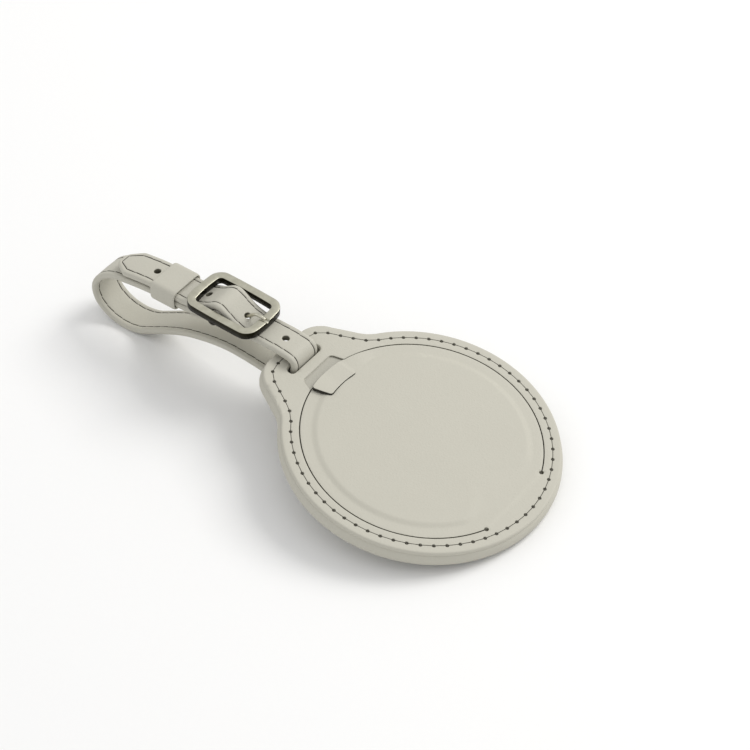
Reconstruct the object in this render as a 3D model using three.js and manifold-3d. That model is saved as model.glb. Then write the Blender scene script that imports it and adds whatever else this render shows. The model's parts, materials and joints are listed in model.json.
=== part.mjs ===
// Round leather luggage tag with a sealed tracker inside and a buckled leather strap.
// Millimetres, +Z up. The tag is drawn flat, with its disc centred on the origin and its top face
// at z = 0, and the whole group is then tilted so that the tag's far rim and the strap loop stand
// on the ground plane.
import * as THREE from "three";
import { mergeVertices } from "three/addons/utils/BufferGeometryUtils.js";
import Module from "manifold-3d";

const wasm = await Module();
wasm.setup();

// Tag outline, given by the stitch line that runs round it
const SEAM_R = 33;
const SEAM_CORNER = { x: -35.94, y: 6.1, r: 5.56 };
const SEAM_BLEND_R = 13.2;
const LUG_FLANK_DEG = 117.8;
const EDGE_MARGIN = 2.35;

// Layers of the tag, from the top face down
const LEATHER_T = 1.1;
const TAG_T = 5;
const LAYER_GAP = 0.1;
const BACK_T = 0.85;
const BACK_BULGE = 0.65;
const HOLLOW_MARGIN = 1.45;
const SIDE_ROUND = { height: 1.5, drawIn: 0.9 };
const LINING_T = 0.3;
const LINING_R = 32.2;
const CARD_R = 26;
const CARD_T = 0.35;

// Flap, its hinge chord and its raised field
const FLAP_R = 30.6;
const SLIT_R = 30.9;
const HINGE_X = 28.35;
const HINGE_GAP = 0.15;
const STOP_HOLE_R = 0.6;
const FIELD_R = 26.4;
const FIELD_FOOT_R = 27.9;
const FIELD_H = 0.5;
const CLEAR = 0.3;

// Pull tab on the flap, and the finger notch beside it
const TAB = { inner: 25.3, outer: 30.6, halfInner: 4.9, halfOuter: 6.5, t: 0.85 };
const NOTCH = { outer: -33.7, inner: -27, half: 6.8, r: 2.4, depth: 0.6 };

// Strap slot in the lug
const SLOT = { x: -37.6, half: 1.2, length: 12.2 };

// Tracker module
const MODULE_R = 27.7;
const MODULE_WALL = 0.8;
const SHELL_T = 0.45;
const MODULE_TOP = -1.5;
const MODULE_BOTTOM = -4.05;
const LIP = { outer: 26.1, inner: 25.6, depth: 0.6 };
const SEAL = { r: 26.5, tube: 0.25, drop: 0.35 };
const BUTTON = { x: -15.2, y: -15.2, r: 3, stem: 0.8, proud: 0.2 };
const LED = { x: -20.6, y: -6.6, r: 0.6, length: 1, width: 1.6, t: 0.35 };

// Inside the module; a lift is measured up from its floor
const BOARD = { inner: 17.3, outer: 25.3, fromDeg: 95, toDeg: 265, lift: 0.65, t: 0.4 };
const RADIO = { x: -21, y: 6, side: 4.4, t: 0.45 };
const DRIVER = { x: -15.4, y: 15.4, side: 3, t: 0.4 };
const DOME = { r: 1.9, t: 0.2 };
const ANTENNA = { inner: 24.2, outer: 25.3, fromDeg: 28, toDeg: 84, t: 0.25 };
const COIL = { outer: 15.6, inner: 7.6, t: 0.3 };
const FERRITE = { r: 16.6, lift: 0.45, t: 0.15 };
const CELL = { length: 21, width: 24, r: 2, lift: 0.7, t: 0.8 };
const PIEZO = { x: 21.3, y: -2, r: 3.9, t: 0.35 };
const SKIN = 0.05;

// Strap: one flat leather strap, drawn as its centre line in the XZ plane
const STRAP_W = 9.6;
const STRAP_T = 1.8;
const SKIVED_T = 0.9;
const HOLE_R = 0.95;
const HOLES = { slot: -43.9, prong: -56.6, prongLength: 4.2, run: -68.3, tail: -85.4 };
const BAR = { x: -62.3, z: 0.45, r: 0.75 };
const BEND = { r: 2.2, topZ: 2.02, underZ: -7.5 };
const FOLD = { play: 0.15, turns: 4, shift: 0.3, drop: 1.15 };
const PRONG_GAP = { x: -59.8, length: 9.5, width: 1.9 };
const TIP = { shoulder: 4.6, back: 3, r: 2.6, halfDeg: 55 };
const SWING_X = -46.5;
const TAIL_X = -84.2;
const FREE_RUN = [
  [SWING_X, 1.6], [-48.5, 1.3], [-51.3, 0.8], [-53.6, 0.65], [-55.5, 0.8], [-57.3, 1.2],
  [-59.4, 2.1], [-61.3, 3], [-62.6, 3.32], [-63.8, 2.85], [-65.9, 0.95], [-68, -0.5],
  [-70.7, -2], [-73.5, -3], [-77.5, -3.7], [TAIL_X + CLEAR / 2, -4.65],
];
const TAIL_RUN = [
  [TAIL_X - CLEAR / 2, -4.72], [-88.4, -5.75], [-92.6, -7.1], [-95.2, -8.05], [-97.3, -9.1],
];
const WRAP_RUN = [
  [-63.7, -0.35], [-65.7, -1.6], [-68.2, -3], [-71, -4.3], [-74, -5.2], [-79.3, -6.1],
  [-83.6, -6.95], [-88, -8.1], [-92, -9.35], [-95.6, -10.6], [-98.8, -12.7], [-101.3, -16],
  [-102.1, -20], [-100.2, -24], [-96, -26.3], [-91, -26.5], [-86.4, -24.9], [-82.6, -22.1],
  [-79.3, -19.4], [-76.2, -17.1], [-73.3, -15.1], [-70.2, -13.3], [-65.3, -11.1],
  [-61.4, -9.7], [-57.4, -8.65], [-52, -8], [SWING_X, -7.7],
];

// Buckle: a rounded frame over the strap, a bar under it and a prong through it
const FRAME = { x: -60.8, z: 2, length: 22.4, width: 15.5, end: 2.3, side: 2.2, t: 2.2, r: 3.9, innerR: 1.2 };
const FRAME_TILT_DEG = 7.35;
const FRAME_EDGE = 0.3;
const GROOVE = { width: 1.6, depth: 0.6, r: 0.7 };
const EAR = { length: 3.2, under: 0.7 };
const PRONG_R = 0.5;
const EYE = { wall: 0.75, width: 1, play: 0.06 };
const PRONG_RUN = [
  [-61.2, 0.1], [-59.6, 0.05], [-58.2, 0.25], [-56.9, 0.9], [-55.7, 2.05], [-54.7, 3.3],
  [-53.6, 4.25], [-52.4, 4.55], [-50.8, 4.6],
];

// Keeper loop round both layers of the strap
const KEEPER = { x: -79.35, z: -5.05, length: 7.9, t: 0.7, tiltDeg: 9.3, inW: 9.9, inH: 4.6 };

// Standing pose
const TILT_DEG = 10.08;

const RAD = Math.PI / 180;
const BACK_Z = -TAG_T;
const MODULE_FLOOR = MODULE_BOTTOM + SHELL_T;
const CORE_TOP = -LEATHER_T - LAYER_GAP;
const CORE_BOTTOM = BACK_Z + BACK_T + LAYER_GAP;

const FINISH = {
  leather: { color: 0xcbc8bb, roughness: 0.6, metalness: 0 },
  thread: { color: 0x4f4a3a, roughness: 0.8, metalness: 0 },
  lining: { color: 0xa9a595, roughness: 0.95, metalness: 0 },
  card: { color: 0xf2f0ea, roughness: 0.8, metalness: 0 },
  plastic: { color: 0x2b2c2e, roughness: 0.5, metalness: 0 },
  board: { color: 0x1f5b3c, roughness: 0.5, metalness: 0 },
  chip: { color: 0x17181a, roughness: 0.4, metalness: 0 },
  cell: { color: 0xb9bcc0, roughness: 0.35, metalness: 0.6 },
  copper: { color: 0xb87333, roughness: 0.35, metalness: 0.9 },
  ferrite: { color: 0x3a3a3c, roughness: 0.8, metalness: 0.1 },
  brass: { color: 0xc9a24a, roughness: 0.35, metalness: 0.9 },
  rubber: { color: 0x3b3b3a, roughness: 0.8, metalness: 0 },
  clear: { color: 0xe8ecec, roughness: 0.2, metalness: 0 },
  gunmetal: { color: 0x5a5347, roughness: 0.3, metalness: 0.9 },
};

const tag = new THREE.Group();

// ---- helpers ----

function solid(geometry) {
  const bare = geometry.index ? geometry.toNonIndexed() : geometry.clone();
  bare.deleteAttribute("normal");
  bare.deleteAttribute("uv");
  const merged = mergeVertices(bare, 1e-4);
  const mesh = new wasm.Mesh({
    numProp: 3,
    vertProperties: new Float32Array(merged.attributes.position.array),
    triVerts: new Uint32Array(merged.index.array),
  });
  return new wasm.Manifold(mesh);
}

function geometryOf(body) {
  const mesh = body.getMesh();
  const geometry = new THREE.BufferGeometry();
  geometry.setAttribute("position", new THREE.BufferAttribute(new Float32Array(mesh.vertProperties), 3));
  geometry.setIndex(new THREE.BufferAttribute(new Uint32Array(mesh.triVerts), 1));
  geometry.computeVertexNormals();
  return geometry;
}

function add(name, shape, finish) {
  const geometry = shape.isBufferGeometry ? shape : geometryOf(shape);
  const mesh = new THREE.Mesh(geometry, new THREE.MeshStandardMaterial(FINISH[finish]));
  mesh.name = name;
  tag.add(mesh);
}

function arc(x, y, r, fromDeg, toDeg, steps) {
  const points = [];
  for (let i = 0; i <= steps; i++) {
    const a = (fromDeg + ((toDeg - fromDeg) * i) / steps) * RAD;
    points.push(new THREE.Vector2(x + r * Math.cos(a), y + r * Math.sin(a)));
  }
  return points;
}

// Upper half of the seam's outline, moved out by `out`: disc, hollow blend, flared flank, lug corner.
// The blend's centre keeps SEAM_BLEND_R from the flank and from the disc.
function halfOutline(out) {
  const nx = Math.cos(LUG_FLANK_DEG * RAD);
  const ny = Math.sin(LUG_FLANK_DEG * RAD);
  const across = SEAM_CORNER.x * nx + SEAM_CORNER.y * ny + SEAM_CORNER.r + SEAM_BLEND_R;
  const along = Math.sqrt((SEAM_R + SEAM_BLEND_R) ** 2 - across ** 2);
  const bx = across * nx - along * ny;
  const by = across * ny + along * nx;
  const discEnd = Math.atan2(by, bx) / RAD;
  const corner = SEAM_CORNER;
  return [
    ...arc(0, 0, SEAM_R + out, 0, discEnd, 26),
    ...arc(bx, by, SEAM_BLEND_R - out, discEnd - 180, LUG_FLANK_DEG - 180, 4).slice(1),
    ...arc(corner.x, corner.y, corner.r + out, LUG_FLANK_DEG, 180, 7),
  ];
}

function outline(out) {
  const upper = halfOutline(out);
  const lower = upper.slice(1).reverse().map((p) => new THREE.Vector2(p.x, -p.y));
  return new THREE.Shape([...upper, ...lower]);
}

function disc(r, steps = 72) {
  return new THREE.Shape(arc(0, 0, r, 0, 360 - 360 / steps, steps - 1));
}

// Plate from z = low to high; `round` eases its edges, `bulge` is how far they draw in
function plate(shape, low, high, round = 0, bulge = round) {
  const geometry = new THREE.ExtrudeGeometry(shape, {
    depth: high - low - 2 * round,
    bevelEnabled: round > 0,
    bevelThickness: round,
    bevelSize: bulge,
    bevelOffset: -bulge,
    bevelSegments: 3,
    curveSegments: 10,
  });
  return solid(geometry.translate(0, 0, low + round));
}

function drum(x, y, r, low, high, sides = 32) {
  const geometry = new THREE.CylinderGeometry(r, r, high - low, sides).rotateX(Math.PI / 2);
  return solid(geometry.translate(x, y, (low + high) / 2));
}

function block(x, y, sx, sy, low, high) {
  return solid(new THREE.BoxGeometry(sx, sy, high - low).translate(x, y, (low + high) / 2));
}

function pill(x, half, length) {
  const straight = length / 2 - half;
  return new THREE.Shape([
    ...arc(x, straight, half, 0, 180, 10),
    ...arc(x, -straight, half, 180, 360, 10),
  ]);
}

function roundedBox(x, y, sx, sy, r) {
  const cx = sx / 2 - r;
  const cy = sy / 2 - r;
  return new THREE.Shape([
    ...arc(x + cx, y + cy, r, 0, 90, 6),
    ...arc(x - cx, y + cy, r, 90, 180, 6),
    ...arc(x - cx, y - cy, r, 180, 270, 6),
    ...arc(x + cx, y - cy, r, 270, 360, 6),
  ]);
}

function slotCut() {
  return plate(pill(SLOT.x, SLOT.half, SLOT.length), BACK_Z - 1, 1);
}

// Shallow recess that lets a fingernail under the pull tab
function notchCut() {
  const middle = (NOTCH.outer + NOTCH.inner) / 2;
  const shape = roundedBox(middle, 0, NOTCH.inner - NOTCH.outer, 2 * NOTCH.half, NOTCH.r);
  return plate(shape, -NOTCH.depth, 1);
}

// Thick line in the XZ plane, drawn along `line` and carried across the strap's width in Y
function ribbon(line, thickness, width) {
  const left = [];
  const right = [];
  line.forEach((p, i) => {
    const ahead = line[Math.min(i + 1, line.length - 1)];
    const behind = line[Math.max(i - 1, 0)];
    const run = new THREE.Vector2().subVectors(ahead, behind).normalize();
    const side = new THREE.Vector2(-run.y, run.x).multiplyScalar(thickness / 2);
    left.push(p.clone().add(side));
    right.push(p.clone().sub(side));
  });
  const shape = new THREE.Shape([...left, ...right.reverse()]);
  const geometry = new THREE.ExtrudeGeometry(shape, { depth: width, bevelEnabled: false });
  return solid(geometry.rotateX(Math.PI / 2).translate(0, width / 2, 0));
}

function smooth(points, steps) {
  return new THREE.SplineCurve(points.map(([x, z]) => new THREE.Vector2(x, z))).getSpacedPoints(steps);
}

function crossBar(x, z, r, width, sides = 24) {
  return solid(new THREE.CylinderGeometry(r, r, width, sides).translate(x, 0, z));
}

// ---- leather case ----

function buildFrontCover() {
  const cover = plate(outline(EDGE_MARGIN), -LEATHER_T, 0, 0.35);
  const window = plate(disc(SLIT_R), -LEATHER_T - 1, 1);
  const hinge = block(HINGE_X + HINGE_GAP + 10, 0, 20, 2 * SLIT_R, -LEATHER_T - 2, 2);
  let body = cover.subtract(window.subtract(hinge));
  body = body.subtract(notchCut()).subtract(slotCut());
  for (const side of [-1, 1]) {
    body = body.subtract(stopHole(side));
  }
  add("front_cover", body, "leather");
}

function stopHole(side) {
  const y = Math.sqrt(((SLIT_R + FLAP_R) / 2) ** 2 - HINGE_X ** 2);
  return drum(HINGE_X, side * y, STOP_HOLE_R, -LEATHER_T - 1, 1, 16);
}

// The flap's field is raised over the card, and hollowed underneath by as much
function buildFlap() {
  const field = [
    [0, -LEATHER_T], [0, FIELD_H], [FIELD_R, FIELD_H], [FIELD_FOOT_R, 0],
    [FLAP_R - 0.2, 0], [FLAP_R, -0.2], [FLAP_R, -LEATHER_T], [0, -LEATHER_T],
  ];
  const profile = field.map(([r, z]) => new THREE.Vector2(r, z));
  let body = solid(new THREE.LatheGeometry(profile.reverse(), 72).rotateX(Math.PI / 2));
  body = body.subtract(drum(0, 0, CARD_R + CLEAR, -LEATHER_T - 1, FIELD_H - LEATHER_T, 72));
  body = body.subtract(block(HINGE_X - HINGE_GAP + 10, 0, 20, 2 * SLIT_R, -LEATHER_T - 1, 2));
  body = body.subtract(plate(tabShape(CLEAR), 0, 2));
  for (const side of [-1, 1]) {
    body = body.subtract(stopHole(side));
  }
  add("cover_flap", body, "leather");
}

function tabShape(out) {
  const outerDeg = Math.asin((TAB.halfOuter + out) / TAB.outer) / RAD;
  const innerDeg = Math.asin((TAB.halfInner + out) / TAB.inner) / RAD;
  return new THREE.Shape([
    ...arc(0, 0, TAB.outer + out, 180 - outerDeg, 180 + outerDeg, 10),
    ...arc(0, 0, TAB.inner - out, 180 + innerDeg, 180 - innerDeg, 8),
  ]);
}

function buildPullTab() {
  add("flap_pull_tab", plate(tabShape(0), LAYER_GAP, LAYER_GAP + TAB.t, 0.25), "leather");
}

function buildCoverStitching() {
  const ring = plate(outline(0.25), 0.06, 0.3).subtract(plate(outline(-0.25), -1, 1));
  add("perimeter_stitching", ring, "thread");
}

function buildBackCover() {
  const side = outline(EDGE_MARGIN + BACK_BULGE);
  const shell = plate(side, BACK_Z, CORE_TOP, SIDE_ROUND.height, SIDE_ROUND.drawIn);
  const hollow = plate(outline(HOLLOW_MARGIN), BACK_Z + BACK_T, 1);
  let body = shell.subtract(hollow).subtract(slotCut());
  body = body.subtract(drum(BUTTON.x, BUTTON.y, BUTTON.r + CLEAR, BACK_Z - 1, 0));
  body = body.subtract(drum(LED.x, LED.y, LED.r + LAYER_GAP, BACK_Z - 1, 0, 16));
  add("back_cover", body, "leather");
}

function buildCore() {
  let body = plate(outline(HOLLOW_MARGIN - CLEAR), CORE_BOTTOM, CORE_TOP);
  body = body.subtract(drum(0, 0, LINING_R + LAYER_GAP, CORE_TOP - LINING_T, 1, 72));
  body = body.subtract(drum(0, 0, MODULE_R + LAYER_GAP, BACK_Z, 1, 72));
  add("core_frame", body.subtract(slotCut()), "plastic");
}

// Thin sheet that floors the card pocket
function buildLining() {
  add("pocket_lining", drum(0, 0, LINING_R, CORE_TOP - LINING_T + SKIN, CORE_TOP, 72), "lining");
}

function buildCard() {
  const top = FIELD_H - LEATHER_T - SKIN;
  add("id_card", drum(0, 0, CARD_R, top - CARD_T, top, 72), "card");
}

// ---- tracker module ----

function buildModuleShells() {
  const lidLow = MODULE_TOP - SHELL_T;
  const lid = drum(0, 0, MODULE_R, lidLow, MODULE_TOP, 72);
  const lipOuter = drum(0, 0, LIP.outer, lidLow - LIP.depth, lidLow + SKIN, 72);
  const lipInner = drum(0, 0, LIP.inner, BACK_Z, lidLow, 72);
  add("module_front_shell", lid.add(lipOuter.subtract(lipInner)), "plastic");
  const cup = drum(0, 0, MODULE_R, MODULE_BOTTOM, lidLow - SKIN, 72);
  const hollow = drum(0, 0, MODULE_R - MODULE_WALL, MODULE_FLOOR, 0, 72);
  const stemHole = drum(BUTTON.x, BUTTON.y, BUTTON.stem + CLEAR, BACK_Z, 0, 16);
  const lightHole = drum(LED.x, LED.y, LED.r + LAYER_GAP, BACK_Z, 0, 16);
  add("module_back_shell", cup.subtract(hollow).subtract(stemHole).subtract(lightHole), "plastic");
  const seal = new THREE.TorusGeometry(SEAL.r, SEAL.tube, 8, 60);
  add("seal_ring", solid(seal.translate(0, 0, lidLow - SEAL.drop)), "rubber");
}

function ringSector(part) {
  return new THREE.Shape([
    ...arc(0, 0, part.outer, part.fromDeg, part.toDeg, 24),
    ...arc(0, 0, part.inner, part.toDeg, part.fromDeg, 20),
  ]);
}

// The board is a half ring: chips on top of it, the dome switch and the lamp under it
function buildBoard() {
  const low = MODULE_FLOOR + BOARD.lift;
  const high = low + BOARD.t;
  add("circuit_board", plate(ringSector(BOARD), low, high), "board");
  const chip = (part) => block(part.x, part.y, part.side, part.side, high + SKIN, high + SKIN + part.t);
  add("bluetooth_chip", chip(RADIO), "chip");
  add("sounder_driver", chip(DRIVER), "chip");
  const under = low - SKIN;
  add("dome_switch", drum(BUTTON.x, BUTTON.y, DOME.r, under - DOME.t, under, 20), "brass");
  add("status_led", block(LED.x, LED.y, LED.length, LED.width, under - LED.t, under), "clear");
  const guideTop = under - LED.t - LAYER_GAP;
  add("light_guide", drum(LED.x, LED.y, LED.r, BACK_Z, guideTop, 16), "clear");
}

// Flat on the module's floor: antenna strip, charging coil under its ferrite and cell, sounder disc
function buildPowerAndSignal() {
  const floor = MODULE_FLOOR + SKIN;
  add("antenna", plate(ringSector(ANTENNA), floor + SKIN, floor + SKIN + ANTENNA.t), "copper");
  const coil = drum(0, 0, COIL.outer, floor, floor + COIL.t, 48);
  add("charging_coil", coil.subtract(drum(0, 0, COIL.inner, BACK_Z, 0, 48)), "copper");
  const ferriteLow = MODULE_FLOOR + FERRITE.lift;
  add("ferrite_sheet", drum(0, 0, FERRITE.r, ferriteLow, ferriteLow + FERRITE.t, 48), "ferrite");
  const cellLow = MODULE_FLOOR + CELL.lift;
  const cell = roundedBox(0, 0, CELL.length, CELL.width, CELL.r);
  add("rechargeable_cell", plate(cell, cellLow, cellLow + CELL.t, CELL.t / 4), "cell");
  add("piezo_sounder", drum(PIEZO.x, PIEZO.y, PIEZO.r, floor, floor + PIEZO.t, 28), "brass");
}

// Round cap let into the back cover, with a short stem that reaches the dome switch
function buildButton() {
  const low = BACK_Z - BUTTON.proud;
  const high = BACK_Z + BACK_T - CLEAR - SKIN;
  const across = 2 * BUTTON.r;
  const cap = plate(roundedBox(BUTTON.x, BUTTON.y, across, across, BUTTON.r), low, high, BUTTON.proud);
  const stem = drum(BUTTON.x, BUTTON.y, BUTTON.stem, BACK_Z + BUTTON.proud, MODULE_FLOOR + SKIN, 16);
  add("button_cap", cap.add(stem), "leather");
}

// ---- strap ----

function hole(x, length = 2 * HOLE_R) {
  const spread = length / 2 - HOLE_R;
  const right = arc(x + spread, 0, HOLE_R, -90, 90, 12);
  const left = arc(x - spread, 0, HOLE_R, 90, 270, 12);
  const shape = new THREE.Shape([...right, ...(spread > 0 ? left : left.slice(1, -1))]);
  return plate(shape, -14, 8);
}

// U of strap that comes in over the lug, down through the slot and back under it
function buildSlotBend() {
  const end = SWING_X + CLEAR;
  const line = [
    new THREE.Vector2(end, 1.8),
    new THREE.Vector2(HOLES.slot, BEND.topZ),
    ...arc(SLOT.x - BEND.r, 0, BEND.r, 90, 0, 8),
    ...arc(SLOT.x - BEND.r, BACK_Z, BEND.r, 0, -90, 8),
    new THREE.Vector2(HOLES.slot, BEND.underZ),
    new THREE.Vector2(end, -7.66),
  ];
  const body = ribbon(line, STRAP_T, STRAP_W).subtract(hole(HOLES.slot));
  add("strap_slot_bend", body, "leather");
}

function buildFreeRun() {
  let body = ribbon(smooth(FREE_RUN, 44), STRAP_T, STRAP_W);
  body = body.subtract(hole(HOLES.prong, HOLES.prongLength)).subtract(hole(HOLES.run));
  add("strap_free_run", body, "leather");
}

function buildTail() {
  const reach = TAIL_RUN[TAIL_RUN.length - 1][0];
  const half = STRAP_W / 2;
  const plan = new THREE.Shape([
    new THREE.Vector2(TAIL_X + 4, -half),
    new THREE.Vector2(TAIL_X + 4, half),
    new THREE.Vector2(reach + TIP.shoulder, half),
    ...arc(reach + TIP.back, 0, TIP.r, 180 - TIP.halfDeg, 180 + TIP.halfDeg, 8),
    new THREE.Vector2(reach + TIP.shoulder, -half),
  ]);
  const body = ribbon(smooth(TAIL_RUN, 16), STRAP_T, STRAP_W).intersect(plate(plan, -20, 5));
  add("strap_tail", body.subtract(hole(HOLES.tail)), "leather");
}

// Buckle end: folded round the bar and glued back under itself, then round the handle space
function buildWrap() {
  const run = ribbon(smooth(WRAP_RUN, 96), STRAP_T, STRAP_W);
  const back = WRAP_RUN.slice(0, FOLD.turns).map(([x, z]) => [x + FOLD.shift, z - FOLD.drop]);
  const turned = ribbon(smooth(back, 12), SKIVED_T, STRAP_W);
  const eyeOuter = crossBar(BAR.x, BAR.z, BAR.r + FOLD.play + SKIVED_T, STRAP_W);
  const eyeInner = crossBar(BAR.x, BAR.z, BAR.r + FOLD.play, STRAP_W + 2);
  const prongGap = block(PRONG_GAP.x, 0, PRONG_GAP.length, PRONG_GAP.width, -6, 4);
  add("strap_wrap", run.add(turned).add(eyeOuter).subtract(eyeInner).subtract(prongGap), "leather");
}

function buildKeeper() {
  const outer = roundedBox(0, 0, KEEPER.inW + 2 * KEEPER.t, KEEPER.inH + 2 * KEEPER.t, 1.2);
  const inner = roundedBox(0, 0, KEEPER.inW, KEEPER.inH, 0.6);
  const loop = plate(outer, -KEEPER.length / 2, KEEPER.length / 2, 0.2);
  const open = plate(inner, -KEEPER.length, KEEPER.length);
  const body = geometryOf(loop.subtract(open));
  body.rotateY(Math.PI / 2).rotateX(Math.PI / 2);
  body.rotateY(-KEEPER.tiltDeg * RAD).translate(KEEPER.x, 0, KEEPER.z);
  add("keeper_loop", solid(body), "leather");
}

// ---- buckle ----

function buildBuckle() {
  const mid = FRAME.length / 2;
  const outer = roundedBox(0, 0, FRAME.length, FRAME.width, FRAME.r);
  const openLength = FRAME.length - 2 * FRAME.end;
  const openWidth = FRAME.width - 2 * FRAME.side;
  const inner = roundedBox(0, 0, openLength, openWidth, FRAME.innerR);
  const ring = plate(outer, -FRAME.t / 2, FRAME.t / 2, FRAME_EDGE).subtract(plate(inner, -mid, mid));
  const grooveShape = roundedBox(mid, 0, 2 * FRAME.end + 2, GROOVE.width, GROOVE.r);
  const grooved = geometryOf(ring.subtract(plate(grooveShape, FRAME.t / 2 - GROOVE.depth, mid)));
  grooved.rotateY(-FRAME_TILT_DEG * RAD).translate(FRAME.x, 0, FRAME.z);
  let frame = solid(grooved);
  const seat = (FRAME.width - FRAME.side) / 2;
  for (const side of [-1, 1]) {
    const earLow = BAR.z - BAR.r - EAR.under;
    frame = frame.add(block(BAR.x, side * seat, EAR.length, FRAME.side, earLow, FRAME.z));
  }
  const bore = crossBar(BAR.x, BAR.z, BAR.r + SKIN, FRAME.width - 0.8);
  add("buckle_frame", frame.subtract(bore), "gunmetal");
  add("buckle_center_bar", crossBar(BAR.x, BAR.z, BAR.r, FRAME.width - 1), "gunmetal");
}

function buildProng() {
  const line = smooth(PRONG_RUN, 20).map((p) => new THREE.Vector3(p.x, 0, p.y));
  const path = new THREE.CatmullRomCurve3(line);
  const section = new THREE.Shape(arc(0, 0, PRONG_R, 0, 330, 11));
  const wire = solid(new THREE.ExtrudeGeometry(section, { extrudePath: path, steps: 24 }));
  const eye = crossBar(BAR.x, BAR.z, BAR.r + EYE.wall, EYE.width);
  const bore = crossBar(BAR.x, BAR.z, BAR.r + EYE.play, 4 * EYE.width);
  add("buckle_prong", wire.add(eye).subtract(bore), "gunmetal");
}

buildFrontCover();
buildFlap();
buildPullTab();
buildCoverStitching();
buildBackCover();
buildCore();
buildLining();
buildCard();
buildModuleShells();
buildBoard();
buildPowerAndSignal();
buildButton();
buildSlotBend();
buildFreeRun();
buildTail();
buildWrap();
buildKeeper();
buildBuckle();
buildProng();

// Tilt the tag, then stand it with its box's bottom centre on the origin
const standing = new THREE.Group();
tag.rotation.y = TILT_DEG * RAD;
standing.add(tag);
standing.updateMatrixWorld(true);
const box = new THREE.Box3().setFromObject(standing, true);
const centre = box.getCenter(new THREE.Vector3());
tag.position.set(-centre.x, -centre.y, -box.min.z);

export default standing;
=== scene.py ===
"""Looks of a round leather luggage tag with a tracker inside and a buckled leather strap.

Lengths are millimetres in the tag's own frame, as in the part's source: the disc is centred on the
origin, its top face lies at z = 0, and the strap's line lies in the XZ plane.
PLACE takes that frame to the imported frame, in metres.
"""

import json
import math

import bmesh
import bpy
import numpy as np
from mathutils import Matrix, Vector, geometry


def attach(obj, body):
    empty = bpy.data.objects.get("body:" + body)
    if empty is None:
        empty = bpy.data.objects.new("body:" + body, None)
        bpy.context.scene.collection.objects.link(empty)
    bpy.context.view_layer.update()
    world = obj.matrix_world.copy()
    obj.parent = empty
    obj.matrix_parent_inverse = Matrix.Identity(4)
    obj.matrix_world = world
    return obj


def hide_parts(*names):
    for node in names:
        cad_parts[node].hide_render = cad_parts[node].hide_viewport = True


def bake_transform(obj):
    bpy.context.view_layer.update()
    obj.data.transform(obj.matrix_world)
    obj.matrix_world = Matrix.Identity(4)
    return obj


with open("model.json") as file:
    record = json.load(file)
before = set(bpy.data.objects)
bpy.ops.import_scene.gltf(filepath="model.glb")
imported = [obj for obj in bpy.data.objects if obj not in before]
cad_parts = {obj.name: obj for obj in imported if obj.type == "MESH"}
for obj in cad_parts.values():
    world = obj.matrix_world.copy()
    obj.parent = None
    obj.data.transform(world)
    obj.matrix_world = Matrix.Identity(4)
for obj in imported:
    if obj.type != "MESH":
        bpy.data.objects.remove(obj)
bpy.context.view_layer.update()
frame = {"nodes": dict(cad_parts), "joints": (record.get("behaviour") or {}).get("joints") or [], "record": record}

# Seam line that the whole outline is offset from
SEAM_R = 33
CORNER = np.array([-35.94, 6.1])
CORNER_R = 5.56
BLEND_R = 13.2
FLANK_DEG = 117.8
FLANK = np.array([math.cos(math.radians(FLANK_DEG)), math.sin(math.radians(FLANK_DEG))])
ALONG_FLANK = np.array([FLANK[1], -FLANK[0]])
EDGE_OUT = 2.35

# Leather case
LEATHER_T = 1.1
BACK_Z = -5
BACK_T = 0.85
HOLLOW_OUT = 1.45
SIDE_PROFILE = [
    (HOLLOW_OUT, -1.3), (1.6, -1.16), (2.0, -1.11), (2.36, -1.1), (2.47, -1.2), (2.63, -1.45),
    (2.8, -1.85), (2.92, -2.3), (2.98, -2.75), (3.0, -3.15), (2.94, -3.65), (2.73, -4.2),
    (2.38, -4.66), (1.95, -4.92), (1.5, BACK_Z),
]
CASE_RIM = 0.5
SLIT_R = 30.9
FLAP_R = 30.6
HINGE_X = 28.35
STOP_R = 0.6
STOP = np.array([HINGE_X, math.sqrt(30.75**2 - HINGE_X**2)])
FIELD_R = 26.15
FIELD_FOOT_R = 28.05
FIELD_H = 0.5
HINGE_SPREAD = {"full_deg": 8, "none_deg": 32, "top": 9, "foot": 0.6}
TAB_BED = 0.36
TAB_EASE = 0.07
TAB = {"inner": 25.3, "outer": 30.6, "half_inner": 5.1, "half_outer": 6.85, "t": 0.42}
TAB_END_Y = 5.2
NOTCH = {"x": -30.35, "half_x": 3.1, "half_y": 6.8, "r": 0.9, "depth": 0.5, "flare": 0.36}
SLOT = {"x": -37.6, "half": 1.2, "reach": 4.9}
SLOT_RIM = 0.35
BUTTON = np.array([-15.2, -15.2])
BUTTON_HOLE_R = 3.3
BUTTON_RIM = 0.3
LAMP = np.array([-20.6, -6.6])
LAMP_HOLE_R = 0.7

# Stitching
SEAM_PITCH = 3.307
NEEDLE_R = 0.45
NEEDLE_DEPTH = 0.45
SEAM_ROWS = (0.75, 0.45, 0.2, 0, -0.2, -0.45, -0.75)
SEAM_THREAD_R = 0.085
STRAP_STITCH_Y = 3.35
STRAP_PITCH = 3.0
STITCH_LAP = 0.14
STITCH_SLANT = 0.11
TIP_STITCH_Y = 1.4
FURROW = 0.13
THREAD_R = 0.16

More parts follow.
